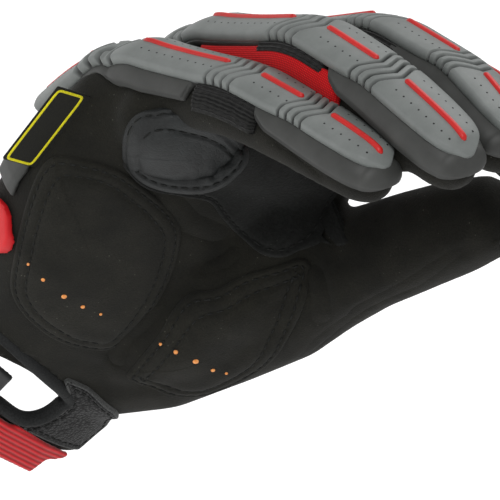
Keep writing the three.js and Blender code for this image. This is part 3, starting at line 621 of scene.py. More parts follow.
def outer_skin():
    """The shell's outer side alone, closed over the window and a little beyond the mouth."""
    bm = solid_of("hand_shell")
    bm.normal_update()
    rim = []
    for face in bm.faces:
        middle = hand_of(face.calc_center_median())
        near_window = line_distance(window_loop, np.array(middle.x), np.array(middle.z)) < WALL_NEAR_MM
        wall = abs(face.normal.y) < 0.5 and near_window and -30 < middle.y < PALM_SIDE
        if on_mouth(face) or wall:
            rim.append(face)
    bmesh.ops.delete(bm, geom=rim, context="FACES")
    outer = max(islands(bm), key=lambda verts: max(v.co.x for v in verts) - min(v.co.x for v in verts))
    bmesh.ops.delete(bm, geom=list(set(bm.verts) - outer), context="VERTS")
    mouth = [e for e in bm.edges if e.is_boundary and on_mouth(e)]
    made = bmesh.ops.extrude_edge_only(bm, edges=mouth)["geom"]
    for vert in (v for v in made if isinstance(v, bmesh.types.BMVert)):
        vert.co -= MOUTH_NORMAL * MOUTH_SPARE_MM * MM
    bmesh.ops.holes_fill(bm, edges=[e for e in bm.edges if e.is_boundary], sides=0)
    bmesh.ops.triangulate(bm, faces=bm.faces)
    bmesh.ops.recalc_face_normals(bm, faces=bm.faces)
    print("outer skin:", len(rim), "rim faces,", len(bm.faces), "faces")
    return bm


# %% Rebuild it from small cubes and smooth it
def apply_modifiers(piece):
    """Bakes a piece's modifiers into its mesh."""
    graph = bpy.context.evaluated_depsgraph_get()
    graph.update()
    mesh = bpy.data.meshes.new_from_object(piece.evaluated_get(graph))
    piece.modifiers.clear()
    piece.data = mesh


def smooth_verts(bm, verts, rounds):
    for _ in range(rounds):
        bmesh.ops.smooth_vert(bm, verts=verts, factor=0.5, use_axis_x=True, use_axis_y=True,
                              use_axis_z=True)


def rebuilt(bm, voxel_mm, rounds):
    """A bmesh rebuilt from even cubes and smoothed."""
    block = shown("rebuild", bm)
    remesh = block.modifiers.new("cubes", "REMESH")
    remesh.mode = "VOXEL"
    remesh.voxel_size = voxel_mm * MM
    apply_modifiers(block)
    out = bmesh.new()
    out.from_mesh(block.data)
    bpy.data.objects.remove(block)
    smooth_verts(out, out.verts, rounds)
    bmesh.ops.recalc_face_normals(out, faces=out.faces)
    return out


SMOOTH_ROUNDS = 7
skin = rebuilt(outer_skin(), VOXEL_MM, SMOOTH_ROUNDS)
print("rebuilt skin:", len(skin.faces), "faces")


# %% [markdown]
# The rebuild leaves two small pits on the thumb's inner side. They are cut out and the holes are filled.
# Then the leather gets its folds. Each is a line along which the skin is pressed in, with a low lip
# beside it. The skin's outward directions are kept for the pads that lie on it.

# %% Close the pits
PITS_AT = ((37.4, -46.6, 87.0), (33.5, -39.9, 69.8))
PIT_MM = 2.6
PIT_ROUNDS = 20


def close_pits(bm):
    """Cuts out each pit, fills the hole and smooths the skin round it."""
    for spot in PITS_AT:
        centre = stored(spot)
        near = [v for v in bm.verts if (v.co - centre).length < PIT_MM * MM]
        bmesh.ops.delete(bm, geom=near, context="VERTS")
        torn = [e for e in bm.edges if e.is_boundary]
        filled = bmesh.ops.holes_fill(bm, edges=torn, sides=0)["faces"]
        bmesh.ops.poke(bm, faces=filled)
        around = [v for v in bm.verts if (v.co - centre).length < 2.5 * PIT_MM * MM]
        smooth_verts(bm, around, PIT_ROUNDS)
        print("pit closed:", len(near), "corners out,", len(filled), "faces in")


close_pits(skin)

# %% Folds pressed into the leather
LIP = 0.22  # how far the leather rises beside a fold, as a share of its depth
LIP_AT, LIP_WIDE = 2.1, 1.1  # where the lip is and how wide, as shares of the fold's own width
FADE = 0.18  # each end of a fold runs out over this share of its length
FOLDS = [
    dict(wide=2.6, deep=1.5, line=((-14, -29, 64), (-8, -29, 62), (0, -29, 58), (9, -29, 57),
                                   (16, -29, 56))),
    dict(wide=2.0, deep=1.0, line=((18, -31, 57), (16, -32, 52), (14, -30, 47), (12, -29, 43))),
    dict(wide=2.4, deep=1.6, line=((12, -29, 33), (11, -28, 25), (11, -26, 15), (13, -26, 8),
                                   (15, -27, 5))),
    dict(wide=2.6, deep=1.0, line=((31, -40, 64), (34, -47, 62), (37, -50, 58), (42, -50, 52))),
    dict(wide=1.8, deep=0.7, line=((51, -41, 30), (48, -47, 41), (46, -52, 56), (45, -54, 63),
                                   (46, -61, 80), (45, -67, 97), (48, -71, 106))),
    dict(wide=1.6, deep=0.8, line=((-33, -64, 114), (-31, -72, 117), (-29, -79, 119), (-27, -84, 119))),
]


def press_folds(bm):
    """Moves the skin in along each fold's line, and out a little beside it."""
    bm.normal_update()
    verts = list(bm.verts)
    co = np.array([hand_of(v.co) for v in verts])
    normal = np.array([v.normal for v in verts])
    move = np.zeros(len(verts))
    for fold in FOLDS:
        line = np.array(fold["line"], float)
        best = np.full(len(verts), 1e9)
        fade = np.zeros(len(verts))
        for k in range(len(line) - 1):
            d = line[k + 1] - line[k]
            t = np.clip((co - line[k]) @ d / (d @ d), 0, 1)
            gap = np.linalg.norm(co - line[k] - t[:, None] * d, axis=1)
            nearer = gap < best
            best = np.where(nearer, gap, best)
            fade = np.where(nearer, (k + t) / (len(line) - 1), fade)
        ends = np.clip(np.minimum(fade, 1 - fade) / FADE, 0, 1)
        share = best / fold["wide"]
        valley = np.exp(-share ** 2) - LIP * np.exp(-((share - LIP_AT) / LIP_WIDE) ** 2)
        move -= fold["deep"] * valley * ends
    for i, vert in enumerate(verts):
        vert.co += Vector(normal[i]) * float(move[i]) * MM


press_folds(skin)
skin.normal_update()
skin.faces.ensure_lookup_table()
skin_tree = BVHTree.FromBMesh(skin)
skin_corners = [[(v.co.copy(), v.normal.copy()) for v in face.verts] for face in skin.faces]


def smooth_normal(index, spot):
    """The leather's outward direction at a spot on one of its faces."""
    total = Vector((0, 0, 0))
    for corner, normal in skin_corners[index]:
        total += normal / ((corner - spot).length_squared + MM ** 2 * 0.05)
    return total.normalized()


# %% Open the mouth and the window, and give the leather its thickness
SNAP_MM = 2.5  # the rim of the window is drawn onto its line from this far
RIM_ROUNDS = 3
KEPT_FACES = 0.95  # keeps the shell under 200,000 triangles


def open_skin(bm):
    bmesh.ops.bisect_plane(bm, geom=bm.verts[:] + bm.edges[:] + bm.faces[:], plane_co=(0, 0, 0),
                           plane_no=MOUTH_NORMAL, dist=1e-7, clear_inner=True)
    middles = [hand_of(face.calc_center_median()) for face in bm.faces]
    u = np.array([m.x for m in middles])
    v = np.array([m.z for m in middles])
    hole = inside(window_loop, u, v)
    gone = [face for face, m, cut in zip(bm.faces, middles, hole) if cut and m.y < PALM_SIDE]
    bmesh.ops.delete(bm, geom=gone, context="FACES")
    rim = [v for v in bm.verts if v.is_boundary and abs(v.co.dot(MOUTH_NORMAL)) > 0.5 * MM]
    smooth_verts(bm, rim, RIM_ROUNDS)
    for vert in rim:
        spot = hand_of(vert.co)
        gaps = np.hypot(window_loop[:, 0] - spot.x, window_loop[:, 1] - spot.z)
        if gaps.min() < SNAP_MM:
            x, z = window_loop[gaps.argmin()]
            vert.co = stored((x, spot.y, z))
    bmesh.ops.remove_doubles(bm, verts=rim, dist=0.05 * MM)


open_skin(skin)
shell = add_piece("leather_shell", skin, palm_suede, "palm_leather", "hand_shell")
thinner = shell.modifiers.new("thinner", "DECIMATE")
thinner.ratio = KEPT_FACES
wall = shell.modifiers.new("wall", "SOLIDIFY")
wall.thickness = LEATHER_MM * MM
wall.offset = -1
apply_modifiers(shell)
print("leather shell:", len(shell.data.polygons), "faces")


# %% [markdown]
# ## The finger guards
# Over each finger lies a dark rubber base, which spreads down the sides of the fingertip, and on it a
# lighter guard that runs from the knuckle to the tip. Four V-shaped cuts cross the guard at each joint,
# so that the rubber bends there. The cuts' depth is also stored, so that painted shade darkens them.

# %% Guard sizes: places as shares of the finger, turns in degrees, the rest in mm
BASE_TOP = 1.7
BASE_SINK = 0.5
GUARD_TOP = 3.9
GUARD_SINK = 0.4
GUARD = dict(at=(-0.32, -0.30, 0.45, 0.90, 0.97, 0.99), turn=(38, 42, 44, 41, 37, 34))
HEEL_TO = -0.285
TIP_FROM = 0.90
RIBS = 4
RIB_PITCH = 2.5
RIB_SLANT = 2.4
GROOVE_WIDTH = 0.75
GROOVE_DEPTH = 1.7
GROOVE_SOFT = 0.15
SLANT_HALF = 0.55  # the cuts lean over this share of the guard's half width
SLANT_FADE = (5.5, 13)
WAIST = 0.07
WAIST_MM = 5
SHOULDER = 0.82
SHOULDER_FALL = 0.8
SHOULDER_CURVE = 1.3
END_HALF = 0.12  # what is left of the guard's half width at its very end
END_HIGH = 0.35  # and of its height
EDGE_SOFT = 0.008  # the base's edge steps over this share of the finger, to both sides
BASE_START = -0.33
BASE_LAST = 0.962
NOSE = 0.075
NOSE_MM = 2.6
BASE_EDGES = {
    "between": dict(at=(-0.33, 0.31, 0.33, 0.555, 0.575, 0.62, 0.74, 0.86, 0.94, 1.00),
                    turn=(47, 47, 41, 41, 62, 78, 86, 92, 95, 98)),
    "outside": dict(at=(-0.33, -0.03, 0.00, 0.03, 0.12, 0.30, 0.315, 0.555, 0.575, 0.62, 0.74, 0.86,
                        0.94, 1.00),
                    turn=(50, 50, 64, 80, 84, 82, 42, 42, 64, 78, 86, 92, 95, 98)),
}


def rib_places(finger):
    steps = (np.arange(RIBS) - (RIBS - 1) / 2) * RIB_PITCH
    return np.add.outer(joints(finger), steps).ravel()


def groove_depth(finger, place):
    """1 in the middle of a cut and 0 beside it."""
    gap = np.abs(place[:, None] - rib_places(finger)).min(axis=1)
    return step_between(-GROOVE_WIDTH / 2 - GROOVE_SOFT, -GROOVE_WIDTH / 2 + GROOVE_SOFT, -gap)


def guard_form(finger, u, v):
    """Place, turn, how full the guard is there, which falls to 0 at its rounded ends, and the cuts' depth.

    The cuts lean back from the guard's middle line, so the grid leans with them near each joint.
    """
    length = finger_length(finger)
    first, last = GUARD["at"][0], GUARD["at"][-1]
    share = mixed(first, last, u)
    tip = step_between(TIP_FROM, last, share) * np.clip((share - TIP_FROM) / (last - TIP_FROM), 0, 1)
    heel = np.clip((HEEL_TO - share) / (HEEL_TO - first), 0, 1)
    full = np.sqrt(np.clip(1 - np.maximum(tip, heel) ** 2, 0, 1))
    near = np.abs(share[:, None] * length - joints(finger)).min(axis=1)
    waist = 1 - WAIST * np.exp(-(near / WAIST_MM) ** 2)
    half = np.interp(share, GUARD["at"], GUARD["turn"]) * waist * mixed(END_HALF, 1, full)
    slip = RIB_SLANT * np.minimum(1, np.abs(v) / SLANT_HALF) * (1 - step_between(*SLANT_FADE, near))
    return share * length - slip, half * v, full, groove_depth(finger, share * length)


def build_guard(name, finger):
    def face(u, v):
        place, turn, full, deep = guard_form(finger, u, v)
        shoulder = np.clip((np.abs(v) - SHOULDER) / (1 - SHOULDER), 0, 1)
        high = (1 - SHOULDER_FALL * shoulder ** SHOULDER_CURVE) * mixed(END_HIGH, 1, full)
        lift = mixed(BASE_TOP, GUARD_TOP, high) - GROOVE_DEPTH * deep * high
        return finger_surface(finger, place, turn, lift), deep, None

    def back(u, v):
        place, turn, _, _ = guard_form(finger, u, v)
        return finger_surface(finger, place, turn, BASE_TOP - GUARD_SINK)

    add_piece(f"{name}_guard_cap", slab(520, 30, face, back), guard_rubber, "guard_rubber",
              f"{name}_guard")


def edge_turn(name, share, v):
    """The turn of the base's lower edge, with its steps rounded."""
    outside = BASE_EDGES["outside" if name == "pinky" else "between"]
    between = BASE_EDGES["between"]
    soft = share[:, None] + np.linspace(-EDGE_SOFT, EDGE_SOFT, 5)
    little = np.interp(soft, outside["at"], outside["turn"]).mean(axis=1)
    thumb = np.interp(soft, between["at"], between["turn"]).mean(axis=1)
    return np.where(v > 0, little, thumb)


LINE_TURNS = (6, 2.2)  # an engraved line runs this many degrees inside the base's edge, this wide
LINE_FROM = (52, 60)  # and only where the base is turned this far round the finger
LINE_DEEP = 0.5
EDGE_TURNS = 4  # the base's edge is rounded over this many degrees
EDGE_MM = 0.2
START_ROUND = 0.012


def build_base(name, finger):
    length = finger_length(finger)

    def form(u, v):
        share = mixed(BASE_START, BASE_LAST, np.minimum(u / (1 - NOSE), 1))
        return share, edge_turn(name, share, v) * v

    def with_nose(u, share, turn, lift):
        """The surface, drawn together past the fingertip into a closed, rounded nose."""
        ring = finger_surface(finger, share * length, turn, lift)
        centre = at_place(finger, np.full(len(u), BASE_LAST * length))[0]
        ahead = at_place(finger, np.full(len(u), BASE_LAST * length + 1))[0] - centre
        around = np.clip((1 - u) / NOSE, 0, 1) * math.pi / 2
        keep, reach = np.sin(around)[:, None], np.cos(around)[:, None]
        return centre + (ring - centre) * keep + ahead * reach * (NOSE_MM + lift[:, None])

    def face(u, v):
        share, turn = form(u, v)
        inside_edge = (1 - np.abs(v)) * edge_turn(name, share, v)
        line = np.exp(-((inside_edge - LINE_TURNS[0]) / LINE_TURNS[1]) ** 2)
        line = line * step_between(*LINE_FROM, np.abs(turn))
        full = rounded(inside_edge / EDGE_TURNS) * rounded(u / START_ROUND)
        lift = mixed(EDGE_MM, BASE_TOP, full) - LINE_DEEP * line
        # Half the engraved line's depth goes to the groove attribute, so painted shade darkens the line.
        return with_nose(u, share, turn, lift), line * 0.5, None

    def back(u, v):
        share, turn = form(u, v)
        return with_nose(u, share, turn, np.full(len(u), -BASE_SINK))

    add_piece(f"{name}_rubber_base", slab(220, 48, face, back), base_rubber, "base_rubber",
              f"{name}_guard_base")


for name, finger in FINGERS.items():
    build_base(name, finger)
    build_guard(name, finger)

# %% [markdown]
# A glossy red line is set along the middle of each guard, broken at the joints, with a row of tiny pits
# on both sides of it. The pits are near-black discs, painted shadow for the shade inside them.

# %% Beads and pits
BEAD_HALF = 0.9
BEAD_HIGH = 0.75
BEAD_SINK = 0.6
BEAD_SEGMENT = 0.6
BEAD_FROM_JOINT = 4.9
BEAD_FIRST = -0.28
BEAD_LAST = 0.965
PIT_RADIUS = 0.33
PIT_PITCH = 2.9
PIT_TURN = 17
PIT_DEEP = 0.26
NORMAL_STEP = 0.4


def bead_spans(finger):
    length = finger_length(finger)
    starts = [BEAD_FIRST * length] + [joint + BEAD_FROM_JOINT for joint in joints(finger)]
    ends = [joint - BEAD_FROM_JOINT for joint in joints(finger)] + [BEAD_LAST * length]
    return dict(zip(("metacarpal", "proximal", "middle", "distal"), zip(starts, ends)))


def build_bead(name, finger, part, start, end):
    def place_at(u, v, top):
        place = mixed(start, end, u)
        full = rounded(np.minimum(place - start, end - place) / BEAD_HALF)
        high = BEAD_HIGH * np.sqrt(1 - v ** 2) * mixed(0.3, 1, full) if top else -BEAD_SINK
        point = finger_surface(finger, place, 0, GUARD_TOP + high)
        return point + (v * BEAD_HALF * mixed(0.35, 1, full))[:, None] * finger["side"]

    columns = max(12, round((end - start) / BEAD_SEGMENT))
    bm = slab(columns, 10, lambda u, v: place_at(u, v, True), lambda u, v: place_at(u, v, False))
    add_piece(f"{name}_red_line_{part}", bm, bead_rubber, "bead_rubber", f"{name}_bead_{part}")


def facing(point, normal, radius, deep):
    """The matrix that sets a unit disc on a point in mm, facing along a normal."""
    turn = Vector(normal).to_track_quat("Z", "Y").to_matrix().to_4x4()
    size = Matrix.Diagonal((radius * MM, radius * MM, deep * MM, 1))
    return Matrix.Translation(stored(point)) @ turn @ size


def finger_normal(finger, place, turn, lift):
    """The outward direction of a finger's surface at a point."""
    def change(step, twist):
        return (finger_surface(finger, place + step, turn + twist, lift)
                - finger_surface(finger, place - step, turn - twist, lift))

    normal = np.cross(change(NORMAL_STEP, 0), change(0, NORMAL_STEP))
    if normal @ (finger_surface(finger, place, turn, lift) - at_place(finger, place)[0]) < 0:
        normal = -normal
    return normal / np.linalg.norm(normal)


def build_pits(name, finger):
    bm = bmesh.new()
    for start, end in bead_spans(finger).values():
        count = int((end - start - PIT_PITCH) / PIT_PITCH)
        for i in range(count + 1):
            place = (start + end) / 2 + (i - count / 2) * PIT_PITCH
            for turn in (-PIT_TURN, PIT_TURN):
                point = finger_surface(finger, place, turn, GUARD_TOP)
                normal = finger_normal(finger, place, turn, GUARD_TOP)
                # Each pit is a near-black disc of painted shadow, set almost flush with the guard.
                bmesh.ops.create_cone(bm, cap_ends=True, segments=8, radius1=1, radius2=0.8, depth=1,
                                      matrix=facing(point - normal * 0.1, normal, PIT_RADIUS, PIT_DEEP))
    add_piece(f"{name}_pits", bm, pit_shadow_finish, "guard_rubber")


for name, finger in FINGERS.items():
    for part, (start, end) in bead_spans(finger).items():
        build_bead(name, finger, part, start, end)
    build_pits(name, finger)

# %% [markdown]
# Black rib knit fills the bend of each finger below the guard, and red mesh joins the fingers' sides.
# Both are slabs on the finger's form, with a map in true sizes for their threads.

# %% Side panels
KNIT = dict(before=0.11, after=0.13, top=36, low=60, outside=92, thick=1.5)
MESH = dict(start=0.06, end=0.62, top=47, low=130, thick=1.1)
CLOTH_RIM = 0.12
CLOTH_LIFT = 0.1
CLOTH_SINK = 0.6
RIB_MM = 1.3
RIB_HIGH = 0.16


def side_cloth(piece_name, finger, start, end, top, low, thick, finish, slot, node, ribs=0.0):
    length = finger_length(finger)

    def form(u, v):
        return mixed(start, end, u) * length, mixed(top, low, (v + 1) / 2)

    def face(u, v):
        place, turn = form(u, v)
        full = rounded((1 - np.maximum(np.abs(v), np.abs(2 * u - 1))) / CLOTH_RIM)
        across = np.radians(turn) * 0.5 * FINGER_WIDTH
        lift = CLOTH_LIFT + thick * full + ribs * np.sin(2 * math.pi * across / RIB_MM)
        return (finger_surface(finger, place, turn, lift), np.zeros(len(u)),
                np.stack([across, place], axis=-1))

    def back(u, v):
        return finger_surface(finger, *form(u, v), -CLOTH_SINK)

    add_piece(piece_name, slab(60, 48, face, back), finish, slot, node)


for name, finger in FINGERS.items():
    joint = joints(finger)[1] / finger_length(finger)
    low = KNIT["outside"] if name == "pinky" else KNIT["low"]
    side_cloth(f"{name}_flex_knit", finger, joint - KNIT["before"], joint + KNIT["after"], KNIT["top"], low,
               KNIT["thick"], flex_knit_cloth, "flex_knit", f"{name}_knit_panel", RIB_HIGH)
    if name != "pinky":
        side_cloth(f"{name}_red_mesh", finger, MESH["start"], MESH["end"], MESH["top"], MESH["low"],
                   MESH["thick"], side_mesh_cloth, "side_mesh", f"{name}_side_mesh")


# %% [markdown]
# ## Pads on the palm
# Each pad is an outline drawn on a plane that faces its part of the palm, then dropped straight onto the
# leather. Its edge is rolled and its seams are pressed in, and a thread runs along each seam.

# %% Facing planes and outlines, in mm: u toward the thumb, v toward the fingers
FACES = {
    "heel": dict(middle=(0, -22, 0), turn=25, tip=0, reach=22),
    "thumb": dict(middle=(0, -37.8, 0), turn=10, tip=0, reach=20),
    "knuckle": dict(middle=(0, -29.9, 0), turn=0, tip=0, reach=16),
    "oval": dict(middle=(-24.6, -36.1, 84), turn=44, tip=26, reach=10, bulging=(-14, 8, -9, 9), power=3),
    "wrist": dict(middle=(0, -22, 0), turn=0, tip=0, reach=14),
    "window": dict(middle=(0, -22, 0), turn=0, tip=0, reach=14, bulging=(-19, 17, -27, -1), power=2),
}
HEEL_PAD = ((-39.3, 60), (-29.3, 66), (-17.3, 65), (-1.3, 58), (6.2, 48), (11.2, 32), (12.2, 13), (6, 7),
            (-7.3, 7), (-23.3, 14), (-31.3, 27), (-39.3, 48))
THUMB_PAD = ((15, 6.9), (18.4, 3.8), (23.8, 4.5), (32.3, 6.2), (39, 12.5), (42, 28.9), (38.7, 44.4),
             (35.6, 55.2), (31.2, 65), (20.8, 54.9), (16, 45.4), (12, 33.6))
KNUCKLE_PAD = ((-30, 71), (-26, 66.5), (-17, 64.3), (-1, 66.4), (8, 62.5), (17.4, 58.8), (25, 62),
               (32.4, 70.4), (35, 78), (33, 86), (20, 90), (0, 91), (-14, 90), (-24, 86))
LOOP_PATCH = ((8.5, -28.5), (20, -31), (33, -34), (36.5, -25), (30.5, -14.5), (27, -12), (16, -9),
              (8, -7.6), (13, -12), (15.8, -16), (16, -20), (13.5, -25))


def lozenge(length, width, power, spin, count=72, point=0.0):
    """A rounded bar shape, spun by degrees, with one end drawn out by `point` mm."""
    angle = (np.arange(count) / count * 2 - 1) * math.pi
    c, s = np.cos(angle), np.sin(angle)
    u = np.sign(c) * np.abs(c) ** (2 / power) * length / 2
    v = np.sign(s) * np.abs(s) ** (2 / power) * width / 2
    u = u + point * np.exp(-(angle / 0.35) ** 2)
    v = v * (1 - 0.06 * point * np.maximum(0, c) ** 2)
    c, s = math.cos(math.radians(spin)), math.sin(math.radians(spin))
    return np.stack([u * c - v * s, u * s + v * c], axis=-1)


def moved_line(loop, distance):
    """A closed line moved outward by a distance, or inward if that is negative."""
    ahead = np.roll(loop, -1, axis=0)
    area = np.sum(loop[:, 0] * ahead[:, 1] - ahead[:, 0] * loop[:, 1])
    along = ahead - np.roll(loop, 1, axis=0)
    along /= np.linalg.norm(along, axis=1, keepdims=True)
    outward = np.stack([along[:, 1], -along[:, 0]], axis=-1) * np.sign(area)
    return loop + outward * distance


def on_line(loop, u):
    """Points at shares u of the way round a closed line."""
    ends = np.vstack([loop, loop[:1]])
    run = np.concatenate([[0], np.cumsum(np.linalg.norm(np.diff(ends, axis=0), axis=1))])
    return between(u * run[-1], run, ends)


# %% Drop points onto the leather
SEAT_MM = 20  # the smooth seat's powers are taken of lengths over this one
SEAT_DROPS = 9
SEAT_REACH = 9
SEAT_FACING = 0.3  # leather turned further away than this is left out of the seat
DROP_FACING = 0.05  # a drop on leather turned further away takes the nearest leather instead


def bulging_seat(face, plane, out, right, ahead, u, v):
    """A smooth bulge through the leather under a face: a low polynomial fitted to a grid of drops."""
    degree = face["power"]
    powers = [(i, j) for i in range(degree + 1) for j in range(degree + 1 - i)]

    def terms(a, b):
        return np.stack([(a / SEAT_MM) ** i * (b / SEAT_MM) ** j for i, j in powers], axis=-1)

    low_u, high_u, low_v, high_v = face["bulging"]
    grid = np.meshgrid(np.linspace(low_u, high_u, SEAT_DROPS), np.linspace(low_v, high_v, SEAT_DROPS))
    middle = np.array(face["middle"])
    spots, depths = [], []
    for a, b in zip(grid[0].ravel(), grid[1].ravel()):
        start = middle + a * right + b * ahead + out * face["reach"]
        hit, normal, _, _ = skin_tree.ray_cast(stored(start), Vector(-out), 2 * face["reach"] * MM)
        if hit is not None and normal.dot(Vector(out)) > SEAT_FACING:
            depths.append(float((np.array(hand_of(hit)) - middle) @ out))
            spots.append((a, b))
    a, b = np.array(spots).T
    shape = np.linalg.lstsq(terms(a, b), np.array(depths), rcond=None)[0]

    def height(a, b):
        return np.clip(terms(a, b) @ shape, -SEAT_REACH, SEAT_REACH)

    slope_u = (height(u + 0.5, v) - height(u - 0.5, v))[:, None]
    slope_v = (height(u, v + 0.5) - height(u, v - 0.5))[:, None]
    normal = out - slope_u * right - slope_v * ahead
    return plane + height(u, v)[:, None] * out, normal / np.linalg.norm(normal, axis=1, keepdims=True)


def drape(face_name, u, v):
    """Where points of a facing plane land on the leather, in mm, with its outward directions."""
    face = FACES[face_name]
    t, tip = math.radians(face["turn"]), math.radians(face["tip"])
    right = np.array([math.cos(t), -math.sin(t), 0])
    ahead = np.array([math.sin(tip) * math.sin(t), math.sin(tip) * math.cos(t), math.cos(tip)])
    out = np.array([-math.cos(tip) * math.sin(t), -math.cos(tip) * math.cos(t), math.sin(tip)])
    plane = np.array(face["middle"]) + u[:, None] * right + v[:, None] * ahead
    if face.get("bulging"):
        return bulging_seat(face, plane, out, right, ahead, u, v)
    points, normals = np.empty((len(u), 3)), np.empty((len(u), 3))
    for i, spot in enumerate(plane):
        start = stored(spot + out * face["reach"])
        hit, normal, index, _ = skin_tree.ray_cast(start, Vector(-out), 3 * face["reach"] * MM)
        if hit is None or normal.dot(Vector(out)) < DROP_FACING:
            hit, normal, index, _ = skin_tree.find_nearest(stored(spot))
        points[i] = hand_of(hit)
        normals[i] = smooth_normal(index, hit)
    return points, normals


# %% Pads and their threads
STITCH_MM = 1.9
STITCH_GAP_MM = 0.8
THREAD_RADIUS = 0.3
THREAD_LIFT = 0.12
PAD_SINK = 0.5
SEAM_HALF = 0.5
CROWN_MM = 8  # a pad's crown is full this far in from its edge
SEAM_CORNERS = 240
SPREAD = 1.5  # over 1 sets a pad's rows closer together toward its edge


def add_stitch(bm, start, end, radius):
    """One stitch: a small long bead between two points in mm."""
    start, end = stored(start), stored(end)
    turn = (end - start).to_track_quat("Z", "Y").to_matrix().to_4x4()
    size = Matrix.Diagonal((radius * MM, radius * MM, (end - start).length / 2, 1))
    matrix = Matrix.Translation((start + end) / 2) @ turn @ size
    bmesh.ops.create_uvsphere(bm, u_segments=6, v_segments=5, radius=1, matrix=matrix)


def pad(name, face_name, loop, thick, roll, finish, slot, node, seams, crown=0.0, seam_deep=0.5,
        columns=150, rows=34, wrinkle=None):
    """A pad with a rolled edge, pressed seams and a thread along each of them."""
    loop = np.array(loop)
    centre = loop.mean(axis=0)

    def height(u, v):
        inset = line_distance(loop, u, v)
        high = thick * rounded(inset / roll) + crown * step_between(roll, CROWN_MM, inset)
        for seam in seams:
            high = high - seam_deep * np.exp(-((inset - seam) / SEAM_HALF) ** 2)
        if wrinkle is not None:
            high = high + wrinkle(u, v) * np.clip(inset / roll, 0, 1)
        return high

    def spot(u, v):
        reach = 1 - (1 - (v + 1) / 2) ** SPREAD
        flat = centre + (on_line(loop, u) - centre) * reach[:, None]
        return flat[:, 0], flat[:, 1]

    def face(u, v):
        across, along = spot(u, v)
        point, normal = drape(face_name, across, along)
        return (point + normal * height(across, along)[:, None], np.zeros(len(u)),
                np.stack([across, along], axis=-1))

    def back(u, v):
        point, normal = drape(face_name, *spot(u, v))
        return point - normal * PAD_SINK

    piece = add_piece(name, slab(columns, rows, face, back, closed=True), finish, slot, node)
    threads = bmesh.new()
    for seam in seams:
        line = moved_line(on_line(loop, np.arange(SEAM_CORNERS) / SEAM_CORNERS), -seam)
        round_mm = np.linalg.norm(np.diff(np.vstack([line, line[:1]]), axis=0), axis=1).sum()
        count = int(round_mm / (STITCH_MM + STITCH_GAP_MM))
        starts = on_line(line, np.arange(count) / count)
        ends = on_line(line, (np.arange(count) + STITCH_MM / (STITCH_MM + STITCH_GAP_MM)) / count)
        places = []
        for flat in (starts, ends):
            point, normal = drape(face_name, flat[:, 0], flat[:, 1])
            places.append(point + normal * (height(flat[:, 0], flat[:, 1]) + THREAD_LIFT)[:, None])
        for a, b in zip(*places):
            if np.linalg.norm(a - b) < 2 * STITCH_MM:
                add_stitch(threads, a, b, THREAD_RADIUS)
    add_piece(f"{name}_thread", threads, thread_black, slot)


def creases(u, v):
    """Shallow wrinkles toward the thumb side of the oval pad."""
    long_waves = np.sin(1.1 * u + 0.9 * v + 1.3 * np.sin(0.5 * v))
    cross_waves = np.sin(0.5 * u - 1.3 * v)
    return step_between(-2, 12, u) * (0.3 * long_waves + 0.15 * cross_waves)


for part, outline in (("heel", HEEL_PAD), ("thumb", THUMB_PAD)):
    pad(f"{part}_cushion", part, smooth_loop(outline, LOOP_CORNERS), 1.5, 2.2, pad_suede, "pad_leather",
        f"{part}_pad", seams=(1.6, 4.4), crown=0.8)
pad("knuckle_panel", "knuckle", smooth_loop(KNUCKLE_PAD, LOOP_CORNERS), 1.1, 1.2, knuckle_grain,
    "pad_leather", "knuckle_pad", seams=(1.5,))
pad("oval_cushion", "oval", lozenge(30.5, 22, 2.4, 33, point=1.6), 3.4, 2.8, patch_leather,
    "patch_leather", "oval_pad", seams=(1.6, 4.6), seam_deep=0.7, wrinkle=creases)
pad("loop_fastener", "wrist", LOOP_PATCH, 1.3, 0.7, loop_pile, "loop_fabric", "loop_patch", seams=(1.2,),
    seam_deep=0.3, columns=96, rows=20)

# %% [markdown]
# Small orange discs on the two palm pads stand for the vents, the largest in the middle of each row.

# %% Vents
VENTS = (
    ((-31.2, -23.1, 29.3), 0.8), ((-26.0, -25.1, 27.4), 1.2), ((-18.2, -26.7, 25.0), 1.6),
    ((-11.5, -27.4, 23.8), 1.3), ((-5.2, -27.8, 23.1), 0.9),
    ((14.9, -34.4, 22.6), 0.9), ((18.1, -37.2, 23.5), 1.3), ((22.6, -39.5, 24.2), 1.8),
    ((29.5, -39.5, 23.2), 1.3), ((33.3, -41.2, 24.0), 0.9),
)  # where each one is and how wide, in mm
VENT_LIFT = 2.35
VENT_DEEP = 0.35
vents = bmesh.new()
for at, wide in VENTS:
    hit, _, index, _ = skin_tree.find_nearest(stored(at))
    normal = smooth_normal(index, hit)
    spot = hand_of(hit) + normal * VENT_LIFT
    bmesh.ops.create_cone(vents, cap_ends=True, segments=16, radius1=1, radius2=0.85, depth=1,
                          matrix=facing(spot, normal, wide / 2, VENT_DEEP))
add_piece("palm_vents", vents, vent_orange, "pad_leather")


# %% [markdown]
# ## Wrist trims and label
# A rolled tape binds the wrist's window. The stiff trims keep the solids' shapes, softened.

# %% Bands along a line
def band(name, seat, loop, inner, outer, high, sunk, finish, slot, *replaced, columns=220, rows=10):
    """A half-round band on a closed line, from `inner` to `outer` mm outside it."""
    lines = {}

    def spot(u, v):
        share = mixed(inner, outer, (v + 1) / 2)
        for k in np.unique(np.round(share, 6)):
            lines.setdefault(k, moved_line(loop, k))
        return np.array([on_line(lines[k], np.array([a]))[0] for k, a in zip(np.round(share, 6), u)])

    def raised(u, v, lift):
        point, normal = seat(*spot(u, v).T)
        return point + normal * lift[:, None]

    def face(u, v):
        return raised(u, v, high * np.sqrt(1 - v ** 2))

    def back(u, v):
        return raised(u, v, np.full(len(u), -sunk))

    add_piece(name, slab(columns, rows, face, back, closed=True), finish, slot, *replaced)


